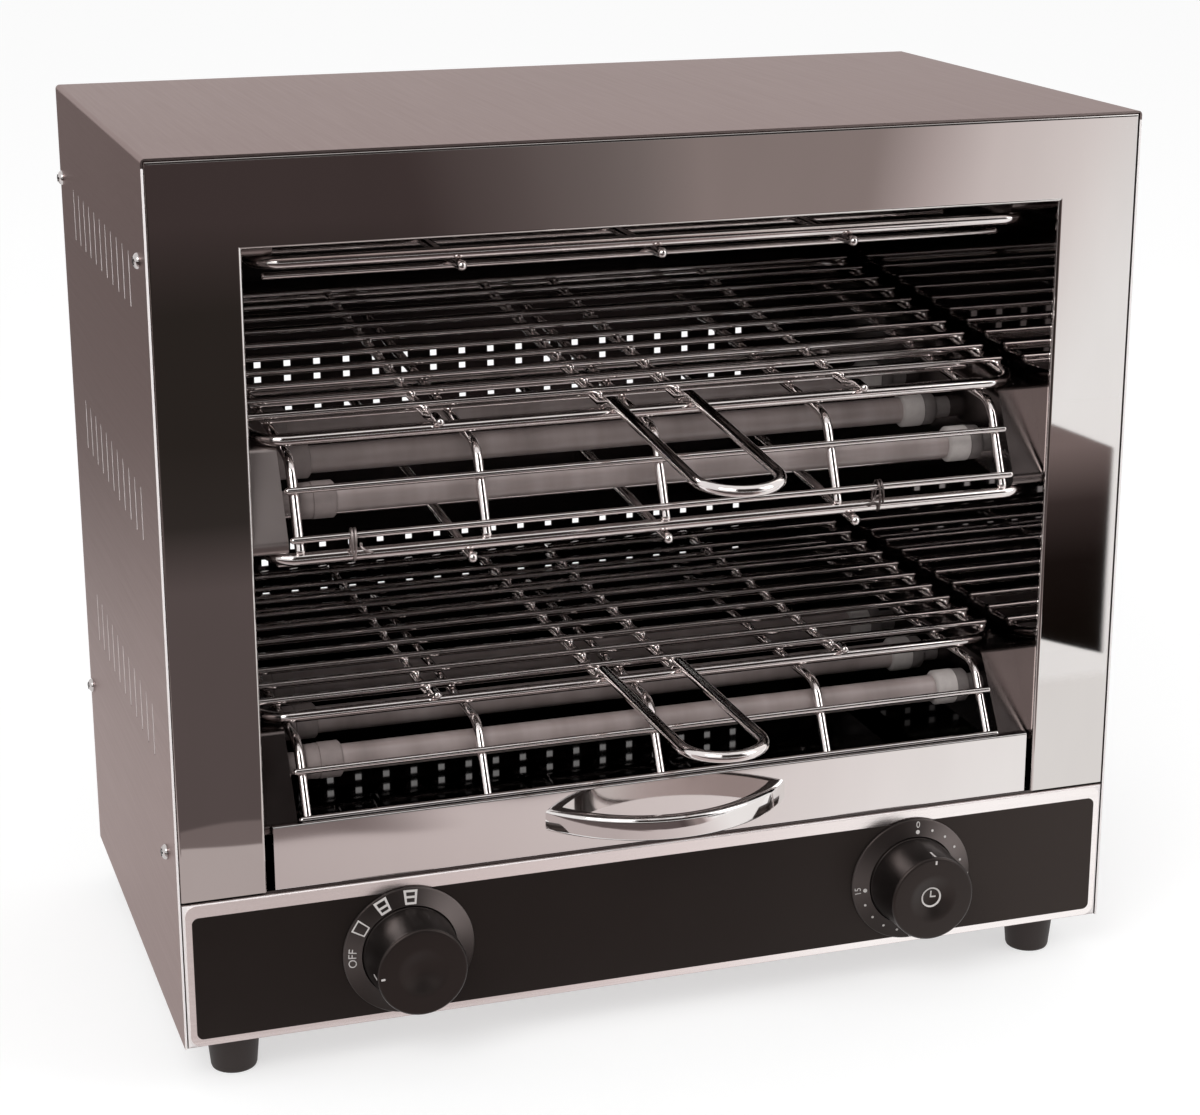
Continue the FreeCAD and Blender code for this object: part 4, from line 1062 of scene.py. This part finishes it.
def makeFoot(name):
    s = footSizes
    low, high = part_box(name)
    centre = Vector(((low.x + high.x) / 2, (low.y + high.y) / 2, 0))
    r1 = (high.x - low.x) / 2
    r0 = r1 - s["taper"]
    h = high.z
    lip = s["lip"]
    profile = [(s["depth"], s["bore"]), (s["depth"], s["recess"]), (lip, s["recess"]),
               (0, s["recess"] + 0.5 * mm), (0, r0 - 3 * lip), (lip, r0 - lip), (1.4 * mm, r0),
               (h - 3 * mm, r1 - 0.3 * mm), (h - 2.4 * mm, r1), (h - lip, r1), (h, r1 - lip), (h, s["bore"]),
               (s["depth"], s["bore"])]
    mesh = sharpEdges(lathe(name + "Rubber", profile, centre, (0, 0, 1), 56), 60)
    newObject(name + "Rubber", mesh, "rubber", "body", [name])


for end in ("front", "back"):
    for side in ("left", "right"):
        makeFoot("foot_" + end + "_" + side)


# Screws with domed heads and cross recesses
screwSizes = {"head": 7 * mm, "height": 2.55 * mm, "brim": 0.35 * mm, "slot": 1.1 * mm,
              "slotLength": 3.6 * mm, "slotDepth": 0.35 * mm}
casingScrewPlaces = ((17.0, 349.0), (24.0, 85.0), (247.5, 349.0), (247.5, 87.0))  # mm back and mm up


def screwShape():
    s = screwSizes
    r = s["head"] / 2
    tip = 0.02 * mm
    profile = [(0, tip), (0, r), (s["brim"], r)]
    for k in range(1, 9):
        angle = math.pi / 2 * k / 8
        rise = (s["height"] - s["brim"]) * math.sin(angle)
        profile.append((s["brim"] + rise, max(r * math.cos(angle), tip)))
    return sharpEdges(lathe("screwHead", profile, (0, 0, 0), (0, 0, 1), 28), 50)


def crossShape():
    s = screwSizes
    half = s["slotLength"] / 2
    wide = s["slot"] / 2
    top = s["height"] + 0.02 * mm
    meshes = []
    level = [(-half, -wide), (half, -wide), (half, wide), (-half, wide)]
    upright = [(b, -a) for a, b in level]
    for outline in (level, upright):
        points = [(a, b, top) for a, b in outline]
        points += [(a * 0.8, b * 0.8, top - s["slotDepth"]) for a, b in outline]
        faces = [(0, 1, 2, 3), (7, 6, 5, 4), (0, 4, 5, 1), (1, 5, 6, 2), (2, 6, 7, 3), (3, 7, 4, 0)]
        meshes.append(meshFrom("cross", points, faces, False))
    return joinMeshes("cross", meshes)


def fitScrews(name, places, node):
    heads = repeatShape(name + "Heads", screwShape(), places, "screw")
    newObject(name + "Heads", heads, None, "body", [node])
    # The recesses are thin dark crosses on the heads: painted shade for the hollows
    crosses = repeatShape(name + "Crosses", crossShape(), places, "ring")
    newObject(name + "Crosses", crosses, None, "body")


def makeScrews():
    places = []
    for inset, height in casingScrewPlaces:
        for side in (-1, 1):
            position = Vector((side * halfWidth, frontY + inset * mm, bodyBottom + height * mm))
            turn = Matrix.Rotation(side * math.pi / 2, 3, "Y") @ Matrix.Rotation(0.4 * inset, 3, "Z")
            places.append((position, turn.to_euler()))
    fitScrews("casingScrew", places, "casing_screws")
    low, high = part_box("back_screws")
    head = screwSizes["head"]
    places = []
    for i in range(3):
        for j in range(2):
            x = low.x + head / 2 + (high.x - low.x - head) * i / 2
            z = low.z + head / 2 + (high.z - low.z - head) * j
            turn = Matrix.Rotation(-math.pi / 2, 3, "X") @ Matrix.Rotation(1.3 * i + j, 3, "Z")
            places.append((Vector((x, backY, z)), turn.to_euler()))
    fitScrews("backScrew", places, "back_screws")


makeScrews()
print("feet and screws made")


# Sheet metal and small parts keep their own solids
nodeFinishes = {
    "casing": ["outer_casing", "control_panel", "base_plate"],
    "back": ["back_panel"],
    "frame": ["front_frame"],
    "wall": ["inner_wall_left", "inner_wall_right", "cavity_roof"],
    "floor": ["cavity_floor"],
    "tray": ["crumb_tray"],
    "label": ["panel_label"],
    "film": ["panel_film"],
    "ring": ["cable_gland", "selector_switch", "timer_unit"],
    "ceramic": ["terminal_block"],
    "screw": ["selector_shaft", "timer_shaft", "foot_screws", "tray_handle_screws", "heating_coils"],
    "bracket": ["heater_bracket_" + deck + "_" + side for deck in ("lower", "middle", "top")
                for side in ("left", "right")],
}
for finish, names in nodeFinishes.items():
    for name in names:
        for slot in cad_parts[name].material_slots:
            slot.material = finishes[finish]
print("solids finished")


# Floor, light and camera
studio = {"floor": 30, "floorTone": 0.5, "floorLift": 0.58, "worldGrey": 0.75, "key": 26, "fill": 10,
          "frontCard": -2.7}


def stagePlane(name, x0, x1, y0, y1, z, material):
    mesh = bpy.data.meshes.new(name)
    mesh.from_pydata([(x0, y0, z), (x1, y0, z), (x1, y1, z), (x0, y1, z)], [], [(0, 1, 2, 3)])
    mesh.materials.append(material)
    plane = bpy.data.objects.new(name, mesh)
    bpy.context.scene.collection.objects.link(plane)
    return plane


def floorMaterial():
    shade = Shade("studioFloor")
    # Rays that reach the camera straight, by a reflection or through glass see the floor paler
    seen, glossy, through = (shade.node("ShaderNodeLightPath", out=ray) for ray in (0, 3, 6))
    shown = (seen + glossy + through).maths("MINIMUM", 1.0)
    diffuse = shade.node("ShaderNodeBsdfDiffuse", {}, {"Color": (*[studio["floorTone"]] * 3, 1)})
    glow = shade.node("ShaderNodeEmission", {},
                      {"Color": (1, 1, 1, 1), "Strength": shown * studio["floorLift"]})
    return shade.show(shade.node("ShaderNodeAddShader", {}, {0: diffuse, 1: glow}))


def flagMaterial(name, tone, mask):
    # A card that only reflections see: its mask says how much of it is there
    shade = Shade(name)
    clear = shade.node("ShaderNodeBsdfTransparent", {}, {"Color": (1, 1, 1, 1)})
    card = shade.node("ShaderNodeEmission", {}, {"Color": tone(shade), "Strength": 1.0})
    return shade.show(shade.node("ShaderNodeMixShader", {}, {0: mask(shade), 1: clear, 2: card}))


# Floor cards: away is the distance in front of the toaster, lean is how far to the right of it
cardEdges = {"near": 0.366, "band": 0.341, "right": 0.60, "reach": 3.0}


def away(shade):
    return 0 - shade.axis(1)


def lean(shade):
    return shade.axis(0) / away(shade)


def darkTone(shade):
    byAway = shade.ramp(away(shade) / cardEdges["reach"], [
        (0.0, (0.125, 0.099, 0.097)), (0.265, (0.125, 0.099, 0.097)), (0.32, (0.040, 0.033, 0.030)),
        (0.40, (0.031, 0.025, 0.022)), (0.58, (0.031, 0.025, 0.022)), (0.76, (0.064, 0.047, 0.046))])
    byLean = shade.ramp(lean(shade), [
        (0.20, (0.066, 0.048, 0.047)), (0.265, (0.128, 0.102, 0.099)), (0.333, (0.227, 0.190, 0.183)),
        (0.37, (0.317, 0.260, 0.250)), (0.475, (0.320, 0.262, 0.252)), (0.51, (0.55, 0.47, 0.46)),
        (0.55, (0.78, 0.70, 0.69)), (0.64, (1.0, 0.95, 0.94))])
    return shade.mix(shade.ease(lean(shade), 0.16, 0.24), byAway, byLean)


def darkMask(shade):
    ripple = shade.noise(9, (1, 0.2, 1), 1) * 0.05 - 0.025
    edge = shade.ease(away(shade) + ripple, cardEdges["near"], cardEdges["near"] + 0.005)
    return edge * (1 - shade.ease(lean(shade), cardEdges["right"], cardEdges["right"] + 0.08))


def nearTone(shade):
    plain = shade.ramp(lean(shade) * 0.6 + 0.4, [
        (0.13, (0.57, 0.50, 0.49)), (0.334, (0.66, 0.58, 0.57)), (0.59, (0.78, 0.71, 0.70)),
        (0.826, (0.95, 0.92, 0.91)), (0.95, (1.0, 0.99, 0.98))])
    ripple = shade.noise(7, (1, 0.2, 1), 1) * 0.06 - 0.03
    band = shade.ease(away(shade) + ripple, cardEdges["band"], cardEdges["band"] + 0.003)
    return shade.mix(band * (1 - shade.ease(lean(shade), -0.25, -0.05)), plain, (0.223, 0.18, 0.176))


def nearMask(shade):
    return 1 - shade.ease(away(shade), 0.44, 0.46)


def blockTone(shade):
    return shade.ramp(away(shade), [
        (0.50, (0.006, 0.004, 0.003)), (0.66, (0.012, 0.008, 0.007)), (0.80, (0.05, 0.036, 0.034)),
        (0.96, (0.24, 0.185, 0.178))])


def blockMask(shade):
    x = shade.axis(0)
    right = 1 - shade.ease(x - away(shade) * 0.564, 0.173, 0.178)
    nearEdge = shade.ease(away(shade) + x * 1.58, 1.160, 1.170)
    farEdge = 1 - shade.ease(away(shade) + x * 8.9, 7.18, 7.23)
    return shade.ease(x, 0.35, 0.36) * right * nearEdge * farEdge


def frontTone(shade):
    cloud = shade.noise(1.3, (1, 1, 1), 2)
    return shade.mix(cloud, (0.012, 0.010, 0.0095), (0.06, 0.05, 0.048))


def frontMask(shade):
    x = shade.axis(0)
    return shade.ease(shade.axis(2), 0.25, 0.6) * shade.ease(x, -1.0, -0.7) * (1 - shade.ease(x, 1.9, 2.5))


def sideTone(shade):
    return shade.mix(shade.noise(1, (1, 1, 1), 1), (0.30, 0.27, 0.265), (0.36, 0.325, 0.32))


def sideMask(shade):
    return shade.ease(shade.axis(1), 0.16, 1.15)


def onlyReflected(card):
    card.visible_camera = False
    card.visible_diffuse = False
    card.visible_shadow = False
    card.visible_transmission = False
    card.visible_volume_scatter = False


cards = {  # left, right, near, far and height of each card, its tone and its mask
    "nearCard": ((-2, 3, -0.5, -0.12, 0.002), nearTone, nearMask),
    "darkCard": ((-6, 8, -9, -0.3, 0.004), darkTone, darkMask),
    "darkBlock": ((0.3, 0.8, -1.1, -0.4, 0.008), blockTone, blockMask),
    "sideCard": ((-9, -0.3, 0.3, 9, 0.004), sideTone, sideMask),
    "frontCard": ((-5, 4, 0, 4, 0), frontTone, frontMask),
}
half = studio["floor"]
stagePlane("studioFloor", -half, half, -half, half, 0, floorMaterial())
for name, (extent, tone, mask) in cards.items():
    card = stagePlane(name, *extent, flagMaterial(name, tone, mask))
    onlyReflected(card)
    if name == "frontCard":  # stands up behind the camera
        for vertex in card.data.vertices:
            vertex.co = (vertex.co.x, studio["frontCard"], vertex.co.y)


def areaLamp(name, place, aim, size, power):
    lamp = bpy.data.lights.new(name, "AREA")
    lamp.shape = "RECTANGLE"
    lamp.size, lamp.size_y = size
    lamp.energy = power
    holder = bpy.data.objects.new(name, lamp)
    bpy.context.scene.collection.objects.link(holder)
    holder.location = place
    holder.rotation_euler = (Vector(aim) - Vector(place)).to_track_quat("-Z", "Y").to_euler()
    return holder


areaLamp("keyLamp", (-1.3, -1.7, 1.9), (0, 0, 0.2), (1.4, 1.0), studio["key"])
areaLamp("fillLamp", (1.8, -1.2, 1.4), (0, 0, 0.2), (1.0, 1.4), studio["fill"])


def makeWorld():
    shade = Shade("studioWorld", world=True)
    bpy.context.scene.world = shade.owner
    seen, glossy, through = (shade.node("ShaderNodeLightPath", out=ray) for ray in (0, 3, 6))
    shown = seen.maths("MAXIMUM", glossy).maths("MAXIMUM", through)
    soft = shade.node("ShaderNodeBackground", {}, {"Color": (1, 1, 1, 1), "Strength": studio["worldGrey"]})
    pale = shade.node("ShaderNodeBackground", {}, {"Color": (1, 1, 1, 1), "Strength": 1.0})
    shade.show(shade.node("ShaderNodeMixShader", {}, {0: shown, 1: soft, 2: pale}))


makeWorld()

# The camera stands where the photograph's perspective puts it
standpoint = {"place": (-0.3883, -1.1524, 0.5740), "azimuth": -18.43, "elevation": 16.96, "roll": -0.07,
              "lens": 80.32, "sensor": 36}


def makeCamera():
    az = math.radians(standpoint["azimuth"])
    el = math.radians(standpoint["elevation"])
    back = Vector((math.sin(az) * math.cos(el), -math.cos(az) * math.cos(el), math.sin(el)))
    right = Vector((math.cos(az), math.sin(az), 0))
    up = back.cross(right)
    turn = Matrix((right, up, back)).transposed() @ Matrix.Rotation(math.radians(standpoint["roll"]), 3, "Z")
    data = bpy.data.cameras.new("camera")
    data.lens = standpoint["lens"]
    data.sensor_width = standpoint["sensor"]
    data.sensor_fit = "HORIZONTAL"
    data.clip_start = 0.05
    camera = bpy.data.objects.new("camera", data)
    bpy.context.scene.collection.objects.link(camera)
    camera.matrix_world = Matrix.Translation(Vector(standpoint["place"])) @ turn.to_4x4()
    bpy.context.scene.camera = camera


makeCamera()
bpy.context.scene.view_settings.view_transform = "Standard"
print("studio made")
